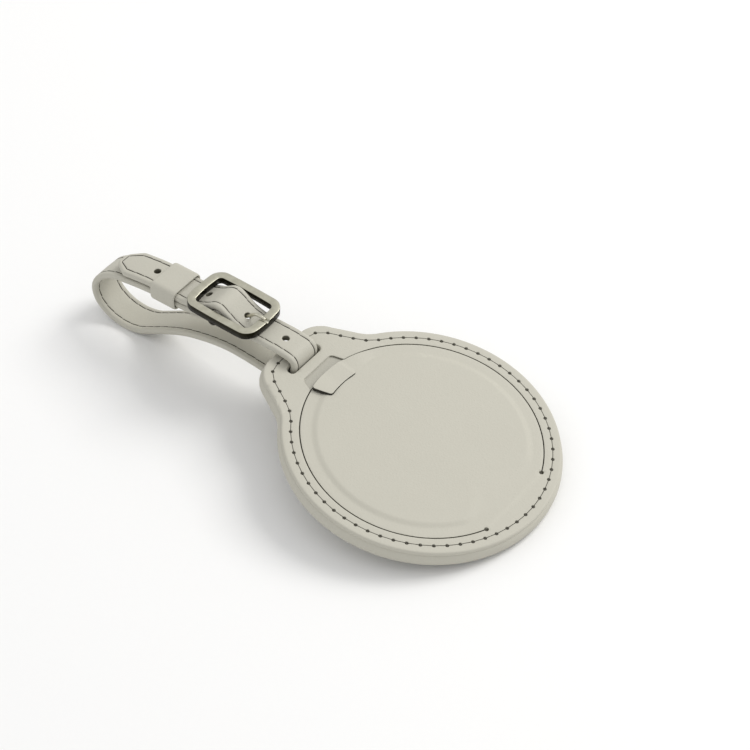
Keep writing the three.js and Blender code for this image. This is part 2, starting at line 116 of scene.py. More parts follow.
# Strap
STRAP_HALF = 4.8
STRAP_T = 1.8
SKIVED_T = 0.9
STRAP_RIM = 0.72
HOLE_R = 0.95
HOLE_RIM = 0.22
PRONG_SLOT = {"reach": 2.65, "half": 0.95}
BAR = np.array([-62.3, 0.45])
BAR_R = 0.75
WRAP_RUN = [
    (-63.7, -0.35), (-65.7, -1.6), (-68.2, -3), (-71, -4.3), (-74, -5.2), (-79.3, -6.1), (-83.6, -6.95),
    (-88, -8.1), (-92, -9.35), (-95.6, -10.6), (-98.8, -12.7), (-101.3, -16), (-102.1, -20),
    (-100.2, -24), (-96, -26.3), (-91, -26.5), (-86.4, -24.9), (-82.6, -22.1), (-79.3, -19.4),
    (-76.2, -17.1), (-73.3, -15.1), (-70.2, -13.3), (-65.3, -11.1), (-61.4, -9.7), (-57.4, -8.65),
    (-52, -8), (-46.5, -7.7), (-43.9, -7.5),
]
UPPER_RUN = [
    (-43.9, 2.02), (-46.5, 1.6), (-48.5, 1.3), (-51.3, 0.8), (-53.6, 0.65), (-55.5, 0.8), (-57.3, 1.2),
    (-59.4, 2.1), (-61.3, 3), (-62.6, 3.32), (-63.8, 2.85), (-65.9, 0.95), (-68, -0.5), (-70.7, -2),
    (-73.5, -3), (-77.5, -3.7),
]
SPLICE_X = -82
TAIL_RUN = [(-77.5, -3.7), (-84.2, -4.68), (-88.4, -5.75), (-92.6, -7.1), (-95.2, -8.05), (-97.3, -9.1)]
BEND_R = 2.2
STRAP_HOLES = (-43.9, -56.3, -68.3)
TAIL_HOLE = -85.4

# Buckle and keeper, each in a small frame of its own
FRAME = {"at": (-60.8, 0, 2), "tilt": 7.35, "length": 22.4, "width": 15.5, "end": 2.3, "side": 2.2, "t": 2.2}
FRAME_R = 3.3
FRAME_INNER_R = 1.1
FRAME_BOW = {"ends": 0.75, "sides": 0.25}
PRONG_RUN = [
    (-61.2, 0.1), (-59.6, 0.05), (-58.2, 0.25), (-56.9, 0.9), (-55.7, 2.05), (-54.7, 3.3), (-53.6, 4.25),
    (-52.4, 4.55), (-50.8, 4.6),
]
PRONG_R = 0.5
PRONG_GROOVE = {"half": 0.62, "depth": 0.42}
EYE = {"r": 1.17, "wire": 0.33}
KEEPER = {"at": (-79.35, 0, -5.05), "tilt": 9.3, "length": 7.9, "t": 0.7, "width": 9.9, "height": 4.6}

# Camera, in the tag's frame
CAMERA_FROM = (190.71, -392.08, 527.73)
CAMERA_TO = (-21.10, 8.22, 0)
CAMERA_LENS = 131.96
CAMERA_ROLL = -0.48

# Where a rolled rim has its rows of points, the slit's own rim, a distance that stands for "not near",
# and how far the floor lies below the frame, in metres
RIM_ANGLES = (20, 42, 65, 90)
GAP = 0.09
FAR = 9.0
FLOOR_DROP = 0.00006


# ---- frame ----

def placement():
    """The tag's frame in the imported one, from the flap's hinge and the direction the button moves in."""
    joints = {joint["name"]: joint for joint in frame["joints"]}
    up = joints["button_press"]["axis"]
    turn = Matrix.Rotation(math.atan2(up[0], up[2]), 4, "Y")
    hinge = Vector(joints["flap_hinge"]["pos_m"])
    origin = hinge - turn @ Vector((HINGE_X / 1000, 0, 0))
    return Matrix.Translation(origin) @ turn @ Matrix.Scale(0.001, 4)


PLACE = placement()


def at(x, y, z):
    return PLACE @ Vector((x, y, z))


# ---- plane geometry ----

def arc(x, y, r, start, end, steps):
    """Points of an arc about (x, y), from one angle to the other, in degrees."""
    angles = np.radians(np.linspace(start, end, steps + 1))
    return np.column_stack([x + r * np.cos(angles), y + r * np.sin(angles)])


def blend_centre():
    """Centre of the hollow arc that joins the disc to the lug's straight flank."""
    across = CORNER @ FLANK + CORNER_R + BLEND_R
    along = math.sqrt((SEAM_R + BLEND_R) ** 2 - across**2)
    return across * FLANK + along * np.array([-FLANK[1], FLANK[0]])


BLEND = blend_centre()
DISC_END = math.degrees(math.atan2(BLEND[1], BLEND[0]))


def outline(out):
    """Closed outline, `out` outside the seam, with the same number of points for every `out`."""
    upper = np.vstack([
        arc(0, 0, SEAM_R + out, 0, DISC_END, 190),
        arc(*BLEND, BLEND_R - out, DISC_END - 180, FLANK_DEG - 180, 26)[1:],
        arc(*CORNER, CORNER_R + out, FLANK_DEG, 180, 18),
    ])
    end = np.column_stack([np.full(25, upper[-1, 0]), np.linspace(CORNER[1], -CORNER[1], 27)[1:-1]])
    lower = upper[1:][::-1] * (1, -1)
    return np.vstack([upper, end, lower])


def seam_distance(p):
    """How far outside the seam each point lies, negative inside."""
    x = p[:, 0]
    q = np.column_stack([x, np.abs(p[:, 1])])
    from_corner = q - CORNER
    angle = np.degrees(np.arctan2(from_corner[:, 1], from_corner[:, 0]))
    disc = np.degrees(np.arctan2(q[:, 1], q[:, 0])) <= DISC_END
    end = (q[:, 1] < CORNER[1]) & (x < -35)
    corner = (angle >= FLANK_DEG) & (q[:, 1] >= CORNER[1])
    flank = from_corner @ ALONG_FLANK < (BLEND - CORNER) @ ALONG_FLANK
    choices = [
        np.hypot(q[:, 0], q[:, 1]) - SEAM_R,
        CORNER[0] - CORNER_R - x,
        np.hypot(from_corner[:, 0], from_corner[:, 1]) - CORNER_R,
        from_corner @ FLANK - CORNER_R,
    ]
    hollow = BLEND_R - np.hypot(*(q - BLEND).T)
    return np.select([disc, end, corner, flank], choices, hollow)


def box_distance(p, x, y, half_x, half_y, r):
    """Signed distance to a rounded box, negative inside."""
    dx = np.abs(p[:, 0] - x) - half_x + r
    dy = np.abs(p[:, 1] - y) - half_y + r
    outside = np.hypot(np.maximum(dx, 0), np.maximum(dy, 0))
    return outside + np.minimum(np.maximum(dx, dy), 0) - r


def box_loop(x, y, half_x, half_y, r, steps=10):
    """Rounded box, counter-clockwise, with `steps` spans in each corner."""
    cx, cy = half_x - r, half_y - r
    corners = [(x + cx, y + cy, 0), (x - cx, y + cy, 90), (x - cx, y - cy, 180), (x + cx, y - cy, 270)]
    return np.vstack([arc(a, b, r, start, start + 90, steps) for a, b, start in corners])


def slot_distance(p):
    return np.hypot(p[:, 0] - SLOT["x"], np.maximum(np.abs(p[:, 1]) - SLOT["reach"], 0)) - SLOT["half"]


def slot_loop(out):
    r = SLOT["half"] + out
    return np.vstack([
        arc(SLOT["x"], SLOT["reach"], r, 0, 180, 20),
        arc(SLOT["x"], -SLOT["reach"], r, 180, 360, 20),
    ])


def smoothstep(low, high, value):
    t = np.clip((value - low) / (high - low), 0, 1)
    return t * t * (3 - 2 * t)


def ease(depth, r):
    """Drop of a rounded rim of radius r, `depth` in from the edge."""
    inside = np.clip(depth, 0, r)
    return r - np.sqrt(np.maximum(r * r - (r - inside) ** 2, 0))


def rim_rows(r):
    return [r * (1 - math.cos(math.radians(a))) for a in RIM_ANGLES]


def distances_along(line):
    """How far along a polyline each of its points lies."""
    return np.concatenate([[0], np.cumsum(np.linalg.norm(np.diff(line, axis=0), axis=1))])


def directions(line):
    """Unit vectors along a polyline, one for each of its points."""
    ahead = np.gradient(line, axis=0)
    return ahead / np.linalg.norm(ahead, axis=1)[:, None]


def bell(reach):
    """Weights for an average over `reach` points either side."""
    weights = np.hanning(2 * reach + 3)[1:-1]
    return weights / weights.sum()


def spaced(line, step, closed=False):
    """The polyline again, with evenly spaced points about `step` apart."""
    if closed:
        line = np.vstack([line, line[:1]])
    run = distances_along(line)
    count = max(2, round(run[-1] / step))
    marks = np.linspace(0, run[-1], count + 1)
    points = np.column_stack([np.interp(marks, run, line[:, k]) for k in range(line.shape[1])])
    return points[:-1] if closed else points


def thinned(points, spacing):
    """Drops each point that has an earlier one closer than the spacing."""
    cells = {}
    kept = []
    for p in points:
        i, j = int(p[0] // spacing), int(p[1] // spacing)
        near = [q for a in (-1, 0, 1) for b in (-1, 0, 1) for q in cells.get((i + a, j + b), ())]
        if all((p[0] - q[0]) ** 2 + (p[1] - q[1]) ** 2 > spacing**2 for q in near):
            cells.setdefault((i, j), []).append(p)
            kept.append(p)
    return np.array(kept)


def lattice(low, high, step):
    """Points of a triangular grid over a box."""
    rows = []
    for k, y in enumerate(np.arange(low[1], high[1], step * 0.866)):
        xs = np.arange(low[0] + (k % 2) * step / 2, high[0], step)
        rows.append(np.column_stack([xs, np.full(len(xs), y)]))
    return np.vstack(rows)


# ---- meshes ----

def new_object(name, vertices, faces, sharp_deg=48):
    """A smooth-shaded mesh object of points in the tag's frame, with sharp edges where faces meet steeply."""
    mesh = bpy.data.meshes.new(name)
    mesh.from_pydata([tuple(v) for v in vertices], [], [tuple(f) for f in faces])
    bm = bmesh.new()
    bm.from_mesh(mesh)
    bmesh.ops.remove_doubles(bm, verts=bm.verts, dist=1e-4)
    bmesh.ops.delete(bm, geom=[v for v in bm.verts if not v.link_faces], context="VERTS")
    bmesh.ops.recalc_face_normals(bm, faces=bm.faces)
    for face in bm.faces:
        face.smooth = True
    for edge in bm.edges:
        if len(edge.link_faces) == 2:
            edge.smooth = edge.calc_face_angle(0) < math.radians(sharp_deg)
    bm.to_mesh(mesh)
    bm.free()
    mesh.transform(PLACE)
    return shown(name, mesh)


def shown(name, data):
    """A new object of the scene that holds the data."""
    obj = bpy.data.objects.new(name, data)
    bpy.context.scene.collection.objects.link(obj)
    return obj


def triangulated(loops, inner):
    """Points and triangles of the region inside the first loop and outside the others."""
    points, edges = [], []
    for loop in loops:
        first, count = len(points), len(loop)
        points.extend(Vector(p) for p in loop)
        edges.extend((first + i, first + (i + 1) % count) for i in range(count))
    points.extend(Vector(p) for p in inner)
    found = geometry.delaunay_2d_cdt(points, edges, [], 1, 1e-5)
    uv = np.array([tuple(v) for v in found[0]])
    triangles = np.array([tuple(f) for f in found[2]])
    centres = uv[triangles].mean(axis=1)
    kept = within(loops[0], centres)
    for loop in loops[1:]:
        kept &= ~within(loop, centres)
    return uv, [tuple(t) for t in triangles[kept]]


def within(loop, points):
    """Which points lie inside a closed loop, by counting the edges that a ray along X crosses."""
    following = np.roll(loop, -1, axis=0)
    crossings = np.zeros(len(points), int)
    for (ax, ay), (bx, by) in zip(loop, following):
        spans = (ay > points[:, 1]) != (by > points[:, 1])
        if spans.any():
            x = ax + (points[spans, 1] - ay) * (bx - ax) / (by - ay)
            crossings[np.flatnonzero(spans)[points[spans, 0] < x]] += 1
    return crossings % 2 == 1


def sheet(loops, inner, upper, lower):
    """Vertices and faces of a closed sheet: upper(uv) and lower(uv) place its two skins."""
    uv, triangles = triangulated(loops, inner)
    count = len(uv)
    edges = {}
    for a, b, c in triangles:
        for e in ((a, b), (b, c), (c, a)):
            edges[e] = True
    rim = [e for e in edges if (e[1], e[0]) not in edges]
    faces = [*triangles]
    faces += [(c + count, b + count, a + count) for a, b, c in triangles]
    faces += [(b, a, a + count, b + count) for a, b in rim]
    return np.vstack([upper(uv), lower(uv)]), faces


def raised(height):
    """A placing function for a flat sheet whose skin lies at height(uv)."""
    return lambda uv: flat_place(uv, height(uv))


def swept(rings, closed=False, capped=True):
    """Vertices and faces of a tube through equal closed rings."""
    count = len(rings[0])
    faces = []
    for i in range(len(rings) if closed else len(rings) - 1):
        a, b = i * count, (i + 1) % len(rings) * count
        faces += [(a + j, a + (j + 1) % count, b + (j + 1) % count, b + j) for j in range(count)]
    if capped and not closed:
        faces.append(tuple(reversed(range(count))))
        faces.append(tuple(range(len(rings) * count - count, len(rings) * count)))
    return np.vstack(rings), faces


def merged(parts):
    """Several lots of vertices and faces as one."""
    vertices, faces, first = [], [], 0
    for v, f in parts:
        vertices.append(v)
        faces += [tuple(i + first for i in face) for face in f]
        first += len(v)
    return np.vstack(vertices), faces


def tube(line, side, r, sides, flatten=1.0):
    """Tube round a polyline; `side` is a direction across it, and r may change along it."""
    line = np.asarray(line, float)
    radii = np.broadcast_to(r, len(line))
    ahead = directions(line)
    side = np.asarray(side, float)
    across = side - (ahead @ side)[:, None] * ahead
    across /= np.linalg.norm(across, axis=1)[:, None]
    up = np.cross(ahead, across)
    angles = np.linspace(0, 2 * math.pi, sides, endpoint=False)
    rings = [
        p + radius * (np.outer(np.cos(angles), a) + flatten * np.outer(np.sin(angles), u))
        for p, radius, a, u in zip(line, radii, across, up)
    ]
    return swept(rings)


# ---- stitches ----

def seam_holes():
    """Needle holes round the seam, half a stitch either side of the disc's far end."""
    line = spaced(outline(0), 0.05, closed=True)
    run = distances_along(line)
    half = run[-1] / 2
    marks = np.arange(SEAM_PITCH / 2, half - SEAM_PITCH / 3, SEAM_PITCH)
    upper = np.column_stack([np.interp(marks, run, line[:, k]) for k in (0, 1)])
    return np.vstack([upper[::-1] * (1, -1), upper])


NEEDLES = seam_holes()


def needle_dips(uv):
    """Depth of the needle holes, each in the shallow dimple that its thread pulls."""
    r = NEEDLE_R
    dip = np.zeros(len(uv))
    for hole in NEEDLES:
        near = np.abs(uv - hole).max(axis=1) < 4 * r
        away = np.hypot(*(uv[near] - hole).T)
        bore = NEEDLE_DEPTH * (1 - smoothstep(0.82 * r, 1.12 * r, away))
        dip[near] = np.maximum(dip[near], bore + 0.05 * np.exp(-((away / (1.7 * r)) ** 2)))
    return dip


def needle_rows():
    """Points round every needle hole, so that the sheet can follow its dip."""
    rings = [arc(0, 0, k * NEEDLE_R, 0, 337.5, 15) for k in (0.4, 0.82, 0.97, 1.12, 1.5, 2.2)]
    return np.vstack([hole + ring for hole in NEEDLES for ring in [np.zeros((1, 2)), *rings]])


def stitch(ends, lift, r, place, facing, dive=0.45):
    """One stitch: a thread from hole to hole that arches over the leather and dives in at its ends."""
    t = np.linspace(0, 1, 11)
    uv = np.outer(1 - t, ends[0]) + np.outer(t, ends[1])
    height = lift - (lift + dive) * (2 * np.abs(t - 0.5)) ** 8
    line = place(uv, height * facing)
    ahead = line[-1] - line[0]
    side = np.cross(ahead, place(uv[5:6], np.array([facing]))[0] - place(uv[5:6], np.array([0.0]))[0])
    return tube(line, side, r, sides=7, flatten=0.8)


def bead(centre, facing, level):
    """Dark knot of thread that fills a needle hole."""
    profile = ((1.05, -0.2), (1.08, -0.02), (0.8, 0.02), (0.4, 0.03), (0.05, 0.035))
    return swept([flat_place(centre + arc(0, 0, NEEDLE_R * radius, 0, 330, 11), level + height * facing)
                  for radius, height in profile])


def flat_place(uv, height):
    """Points at a height above the plane, which may be one number or one for each point."""
    return np.column_stack([uv, np.broadcast_to(height, len(uv))])


def seam_thread(level, facing):
    """Thread on one face of the case, at `level`: stitches from hole to hole, and a knot in each hole."""
    def place(uv, height):
        return flat_place(uv, level + height)

    parts = []
    for a, b in zip(NEEDLES[:-1], NEEDLES[1:]):
        if np.hypot(*(b - a)) < 1.6 * SEAM_PITCH:
            parts.append(stitch((a, b), -0.03, SEAM_THREAD_R, place, facing))
    parts += [bead(hole, facing, level - 0.2 * facing) for hole in NEEDLES]
    return parts


def make_seam():
    thread = new_object("seam_thread", *merged(seam_thread(0, 1) + seam_thread(BACK_Z, -1)))
    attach(thread, "tag")
    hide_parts("perimeter_stitching")
    finish_piece(thread, "thread")


# ---- leather case ----

def seam_groove(out):
    """Depth of the faint line that the stitching presses into the leather."""
    return 0.05 * np.exp(-((out / 0.22) ** 2))


def notch_distance(p):
    """Distance outside the finger notch, a rounded box that widens towards the slit."""
    squared = np.column_stack([p[:, 0], np.abs(p[:, 1]) + NOTCH["flare"] * (NOTCH["x"] - p[:, 0])])
    return box_distance(squared, NOTCH["x"], 0, NOTCH["half_x"], NOTCH["half_y"], NOTCH["r"])


def notch_loop(out):
    """Outline of the finger notch, `out` outside its edge."""
    loop = box_loop(NOTCH["x"], 0, NOTCH["half_x"] + out, NOTCH["half_y"] + out, NOTCH["r"] + out)
    loop = spaced(loop, 0.35, closed=True)
    loop[:, 1] -= np.sign(loop[:, 1]) * NOTCH["flare"] * (NOTCH["x"] - loop[:, 0])
    return loop


def stop_distance(p):
    """Distance outside the nearer of the two stop holes."""
    return np.hypot(p[:, 0] - STOP[0], np.abs(p[:, 1]) - STOP[1]) - STOP_R


def slit_distance(p):
    """Distance outside the slit that frees the flap, with the stop holes at its two ends."""
    rim = np.where(p[:, 0] < HINGE_X, np.hypot(*p.T) - SLIT_R, FAR)
    return np.minimum(rim, stop_distance(p))


def stop_cut(r):
    """Angle round the stop hole at which it meets a circle of radius r about the disc's centre."""
    reach = np.hypot(*STOP)
    turn = math.acos((r * r - reach**2 - STOP_R**2) / (2 * STOP_R * reach))
    return math.degrees(math.atan2(STOP[1], STOP[0]) + turn)


def freed_loop(r, start, steps):
    """Circle of radius r about the disc's centre, closed by the stop holes' arcs and the hinge line."""
    upper = arc(*STOP, STOP_R, start, stop_cut(r), steps)
    first = math.degrees(math.atan2(upper[-1, 1], upper[-1, 0]))
    rim = arc(0, 0, r, first, 360 - first, 380)[1:-1]
    lower = upper[::-1] * (1, -1)
    chord = np.column_stack([np.full(40, HINGE_X), np.linspace(lower[-1, 1], upper[0, 1], 42)[1:-1]])
    return np.vstack([upper, rim, lower, chord])


def front_height(uv):
    out = seam_distance(uv)
    drop = ease(EDGE_OUT - out, CASE_RIM) + ease(slit_distance(uv), GAP) + ease(slot_distance(uv), SLOT_RIM)
    recess = NOTCH["depth"] * (1 - smoothstep(-0.14, 0.1, notch_distance(uv)))
    return -drop - recess - seam_groove(out) - needle_dips(uv)


def front_points():
    rows = [outline(EDGE_OUT - d) for d in rim_rows(CASE_RIM) + [0.9]]
    rows.append(needle_rows())
    rows += [spaced(outline(out), 0.6, closed=True) for out in SEAM_ROWS]
    rows += [slot_loop(d) for d in rim_rows(SLOT_RIM) + [0.6]]
    rows += [notch_loop(d) for d in (0.2, 0.1, 0, -0.08, -0.15, -0.3)]
    rows += [arc(0, 0, SLIT_R + d, 21, 339, 380) for d in rim_rows(GAP) + [0.35]]
    rows.append(lattice((-43, -36), (36, 36), 0.9))
    points = np.vstack(rows)
    clear = (seam_distance(points) < EDGE_OUT - 0.02) & (slot_distance(points) > 0.02)
    hinge = (points[:, 0] > HINGE_X + 0.3) | (np.hypot(*points.T) > SLIT_R)
    return thinned(points[clear & hinge & (slit_distance(points) > 0.015)], 0.07)


def make_front():
    def lower(uv):
        return flat_place(uv, np.minimum(front_height(uv) - 0.2, -LEATHER_T))

    loops = [outline(EDGE_OUT), freed_loop(SLIT_R, -90, 16), slot_loop(0)]
    front = new_object("front_leather", *sheet(loops, front_points(), raised(front_height), lower))
    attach(front, "tag")
    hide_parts("front_cover")
    finish_piece(front, "leather")
    # Painted shade: the notch's floor is coloured darker than the leather round it, standing in for the shade of
    # the recess.
    paint(front, "skived_leather", lambda centres, _: notch_distance(centres[:, :2]) < -0.1)
    paint(front, "cut_edge", in_slit_wall)
    # Painted shadow: the notch's upper wall is coloured dark as the line of shade it casts.
    paint(front, "cut_edge", on_notch_rim)


def on_notch_rim(centres, _):
    """The notch's wall beyond the upper end of the pull tab, where a dark line is painted as the shadow that the
    wall casts.
    """
    return (np.abs(notch_distance(centres[:, :2]) + 0.04) < 0.09) & (centres[:, 1] > TAB_END_Y)


def in_slit_wall(centres, normals):
    """Walls of the slit and its stop holes, below their eased rims."""
    return (np.abs(normals[:, 2]) < 0.3) & (np.abs(slit_distance(centres[:, :2])) < 0.34)


def tab_loop(out):
    """Outline of the pull tab, `out` outside its edge."""
    outer = math.degrees(math.asin((TAB["half_outer"] + out) / TAB["outer"]))
    inner = math.degrees(math.asin((TAB["half_inner"] + out) / TAB["inner"]))
    loop = np.vstack([
        arc(0, 0, TAB["outer"] + min(out, 0), 180 - outer, 180 + outer, 40),
        arc(0, 0, TAB["inner"] - out, 180 + inner, 180 - inner, 32),
    ])
    return spaced(rounded(loop, 1.5), 0.2, closed=True)


def rounded(loop, r):
    """The closed loop with its corners eased by averaging along it."""
    fine = spaced(loop, 0.08, closed=True)
    reach = max(1, round(r / 0.08))
    shifted = [w * np.roll(fine, k - reach, axis=0) for k, w in enumerate(bell(reach))]
    return np.sum(shifted, axis=0)


def off_line(p, fine, ahead):
    """Signed distance of p from finely spaced points, positive to the right of the way they run."""
    away = p - fine
    k = np.argmin((away**2).sum(axis=1))
    side = ahead[k, 0] * away[k, 1] - ahead[k, 1] * away[k, 0]
    return math.copysign(math.hypot(*away[k]), -side)


def loop_distance(uv, loop):
    """Signed distance to a closed loop that runs counter-clockwise, negative inside, for points near it."""
    fine = spaced(loop, 0.1, closed=True)
    ahead = np.roll(fine, -1, axis=0) - np.roll(fine, 1, axis=0)
    near = (np.abs(uv - fine.mean(axis=0)) < np.ptp(fine, axis=0) / 2 + 2).all(axis=1)
    return np.array([off_line(p, fine, ahead) if close else FAR for p, close in zip(uv, near)])


def field_height(uv):
    """The card's raised field; its foot spreads out towards the hinge and beside the pull tab."""
    r = np.hypot(*uv.T)
    bearing = np.degrees(np.arctan2(uv[:, 1], uv[:, 0]))
    to_hinge = 1 - smoothstep(HINGE_SPREAD["full_deg"], HINGE_SPREAD["none_deg"], np.abs(bearing))
    top = FIELD_R - HINGE_SPREAD["top"] * to_hinge
    foot = FIELD_FOOT_R - HINGE_SPREAD["foot"] * to_hinge
    plain = 1 - smoothstep(0, 1, (r - top) / (foot - top))
    beside_tab = np.where(bearing > 90, 1 - smoothstep(18, 29, 180 - bearing), 0)
    to_rim = 1 - smoothstep(27.5, 34, r)
    return FIELD_H * np.maximum(plain, beside_tab * to_rim)


def flap_height(uv):
    """Top of the flap: the field, and a bed under the pull tab that is wider at the tab's upper end."""
    edge = np.where(uv[:, 0] < HINGE_X - 0.5, FLAP_R - np.hypot(*uv.T), FAR)
    drop = ease(edge, GAP) + ease(stop_distance(uv), 0.12)
    off_tab = loop_distance(uv, tab_loop(0))
    bed = 1 - smoothstep(0.02, 0.14, off_tab + 0.7 * smoothstep(4.6, 5.4, uv[:, 1]))
    seat = 0.03 * (1 - smoothstep(-0.25, -0.05, off_tab))
    return field_height(uv) * (1 - bed) - drop - TAB_BED * bed - seat


def flap_points():
    rows = [arc(0, 0, FLAP_R - d, 21, 339, 380) for d in rim_rows(GAP) + [0.35]]
    rows += [arc(0, 0, r, 0, 359, 300) for r in np.arange(26.0, 28.4, 0.25)]
    rows += [tab_loop(d) for d in (-0.9, -0.7, -0.55, -0.25, -0.05, 0.02, 0.08, 0.14, 0.3)]
    rows.append(lattice((-31, -31), (29, 31), 0.85))
    points = np.vstack(rows)
    inside = (np.hypot(*points.T) < FLAP_R - 0.01) & (points[:, 0] < HINGE_X - 0.2)
    return thinned(points[inside & (stop_distance(points) > 0.05)], 0.07)


def make_flap():
    def lower(uv):
        return flat_place(uv, np.minimum(flap_height(uv) - 0.25, field_height(uv) - LEATHER_T))

    parts = sheet([freed_loop(FLAP_R, 270, 10)], flap_points(), raised(flap_height), lower)
    flap = new_object("flap_leather", *parts)
    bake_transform(flap)
    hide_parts("cover_flap")
    finish_piece(flap, "leather")
    paint(flap, "cut_edge", in_slit_wall)


def tab_height(uv):
    """The tab sits just proud of the raised field and curls up along its free lower side."""
    lift = 0.22 * (1 - smoothstep(4.3, 5.6, uv[:, 1]))
    curl = 0.36 * smoothstep(0, 5.5, -uv[:, 1])
    edge = -loop_distance(uv, tab_loop(0))
    return FIELD_H + lift + curl - ease(edge, TAB_EASE) * (1 - smoothstep(2, 4.5, uv[:, 1]))


def make_tab():
    rows = [tab_loop(-d) for d in (0.03, TAB_EASE, 0.3)]
    grid = lattice((-31, -7), (-24, 7), 0.4)
    rows.append(grid[loop_distance(grid, tab_loop(0)) < -0.35])

    def lower(uv):
        hem = 0.45 * smoothstep(0, 3, -uv[:, 1]) * smoothstep(25.5, 28, np.hypot(*uv.T))
        return flat_place(uv, tab_height(uv) - TAB["t"] - hem)

    parts = sheet([tab_loop(0)], thinned(np.vstack(rows), 0.06), raised(tab_height), lower)
    tab = new_object("pull_tab_leather", *parts)
    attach(tab, "flap")
    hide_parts("flap_pull_tab")
    finish_piece(tab, "leather")
    # Painted shadow: the tab's walls and underside are coloured near black, standing in for the shade of the gap
    # beneath its free edge.
    paint(tab, "tab_edge", lambda centres, normals: (normals[:, 2] < 0.45) & (centres[:, 1] < TAB_END_Y))


def back_height(uv):
    out = seam_distance(uv)
    button = np.hypot(*(uv - BUTTON).T) - BUTTON_HOLE_R
    rise = ease(slot_distance(uv), SLOT_RIM) + ease(button, BUTTON_RIM)
    return BACK_Z + rise + seam_groove(out) + needle_dips(uv)


def back_points():
    rows = [needle_rows()]
    rows += [spaced(outline(out), 0.7, closed=True) for out in (1.2, *SEAM_ROWS)]
    rows += [slot_loop(d) for d in rim_rows(SLOT_RIM) + [0.6]]
    rows += [arc(*BUTTON, BUTTON_HOLE_R + d, 0, 354, 59) for d in rim_rows(BUTTON_RIM) + [0.6]]
    rows.append(lattice((-43, -36), (36, 36), 1.1))
    points = np.vstack(rows)
    clear = (seam_distance(points) < SIDE_PROFILE[-1][0] - 0.1) & (slot_distance(points) > 0.02)
    button = np.hypot(*(points - BUTTON).T) > BUTTON_HOLE_R + 0.02
    lamp = np.hypot(*(points - LAMP).T) > LAMP_HOLE_R + 0.1
    return thinned(points[clear & button & lamp], 0.08)


def make_back():
    """Back cover: a flat back with bulging sides, closed inside by the floor of its hollow."""
    floor_z = BACK_Z + BACK_T
    holes = [slot_loop(0), arc(*BUTTON, BUTTON_HOLE_R, 0, 354, 59), arc(*LAMP, LAMP_HOLE_R, 0, 345, 23)]
    side = [flat_place(outline(out), z) for out, z in SIDE_PROFILE]
    wall = flat_place(outline(HOLLOW_OUT), floor_z)
    loops = [outline(SIDE_PROFILE[-1][0]), *holes]
    uv, triangles = triangulated(loops, back_points())
    back = flat_place(uv, back_height(uv))
    inner_uv, inner_triangles = triangulated([outline(HOLLOW_OUT), *holes], lattice((-1, -1), (1, 1), 1))
    floor = flat_place(inner_uv, floor_z)
    parts = [swept([wall, *side], capped=False), (back, triangles), (floor, inner_triangles)]
    for loop in holes:
        parts.append(swept([flat_place(loop, back_height(loop)), flat_place(loop, floor_z)], capped=False))
    cover = new_object("back_leather", *merged(parts))
    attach(cover, "tag")
    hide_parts("back_cover")
    finish_piece(cover, "leather")


# ---- strap ----

def spline(points):
    """Smooth curve through the points, as closely spaced points."""
    p = np.array(points, float)
    p = np.vstack([2 * p[0] - p[1], p, 2 * p[-1] - p[-2]])
    t = np.linspace(0, 1, 24, endpoint=False)[:, None]
    spans = []
    for a, b, c, d in zip(p[:-3], p[1:-2], p[2:-1], p[3:]):
        spans.append(0.5 * (2 * b + (c - a) * t + (2 * a - 5 * b + 4 * c - d) * t**2
                            + (3 * b - a - 3 * c + d) * t**3))
    return np.vstack([*spans, p[-2:-1]])


class Run:
    """A stretch of strap: its centre line in the XZ plane, and where its two faces lie."""

    def __init__(self, line, soften=1.0):
        step = 0.1
        line = spaced(line, step)
        reach = round(soften / step)
        padded = np.vstack([
            2 * line[0] - line[reach:0:-1],
            line,
            2 * line[-1] - line[-2:-reach - 2:-1],
        ])
        self.line = np.column_stack([np.convolve(padded[:, k], bell(reach), "valid") for k in (0, 1)])
        self.run = distances_along(self.line)
        self.length = self.run[-1]
        self.out = directions(self.line)[:, (1, 0)] * (1, -1)

    def point(self, uv, height):
        """Tag-frame points u along the run, v across it and `height` out from the centre line."""
        x, z, out_x, out_z = (np.interp(uv[:, 0], self.run, c) for c in (*self.line.T, *self.out.T))
        return np.column_stack([x + height * out_x, uv[:, 1], z + height * out_z])

    def skins(self, height):
        """Placing functions for the two skins of a strap, each height(uv) from its centre line."""
        return (lambda uv: self.point(uv, height(uv))), (lambda uv: self.point(uv, -height(uv)))

    def above(self, level):
        """A placing function for thread, whose heights count from `level` out from the centre line."""
        return lambda uv, height: self.point(uv, height + level)

    def at_x(self, x):
        """How far along the run its line last passes x."""
        return self.run[np.flatnonzero(np.diff(np.sign(self.line[:, 0] - x)))[-1]]


def strap_line():
    """Fold under the wrap, round the bar and the handle's space, through the slot and up to the keeper."""
    fold = [(x + 0.3, z - 1.2) for x, z in WRAP_RUN[:4]][::-1]
    slot = SLOT["x"] - BEND_R
    return np.vstack([
        spline(fold),
        arc(*BAR, BAR_R + 0.15 + SKIVED_T / 2, -112, 128, 40),
        spline(WRAP_RUN[1:]),
        arc(slot, BACK_Z, BEND_R, -90, 0, 24)[1:],
        arc(slot, 0, BEND_R, 0, 90, 24),
        spline(UPPER_RUN + [TAIL_RUN[1]]),
    ])


STRAP = Run(strap_line())
TAIL = Run(spline([UPPER_RUN[-2], *TAIL_RUN]), 0.6)
FOLD_U = STRAP.run[np.argmax(STRAP.line[: len(STRAP.line) // 4, 0])]


def half_thickness(u):
    """Half the strap's thickness: it is skived thin where it folds round the bar, at FOLD_U."""
    return (SKIVED_T + (STRAP_T - SKIVED_T) * smoothstep(FOLD_U + 2, FOLD_U + 7.5, u)) / 2


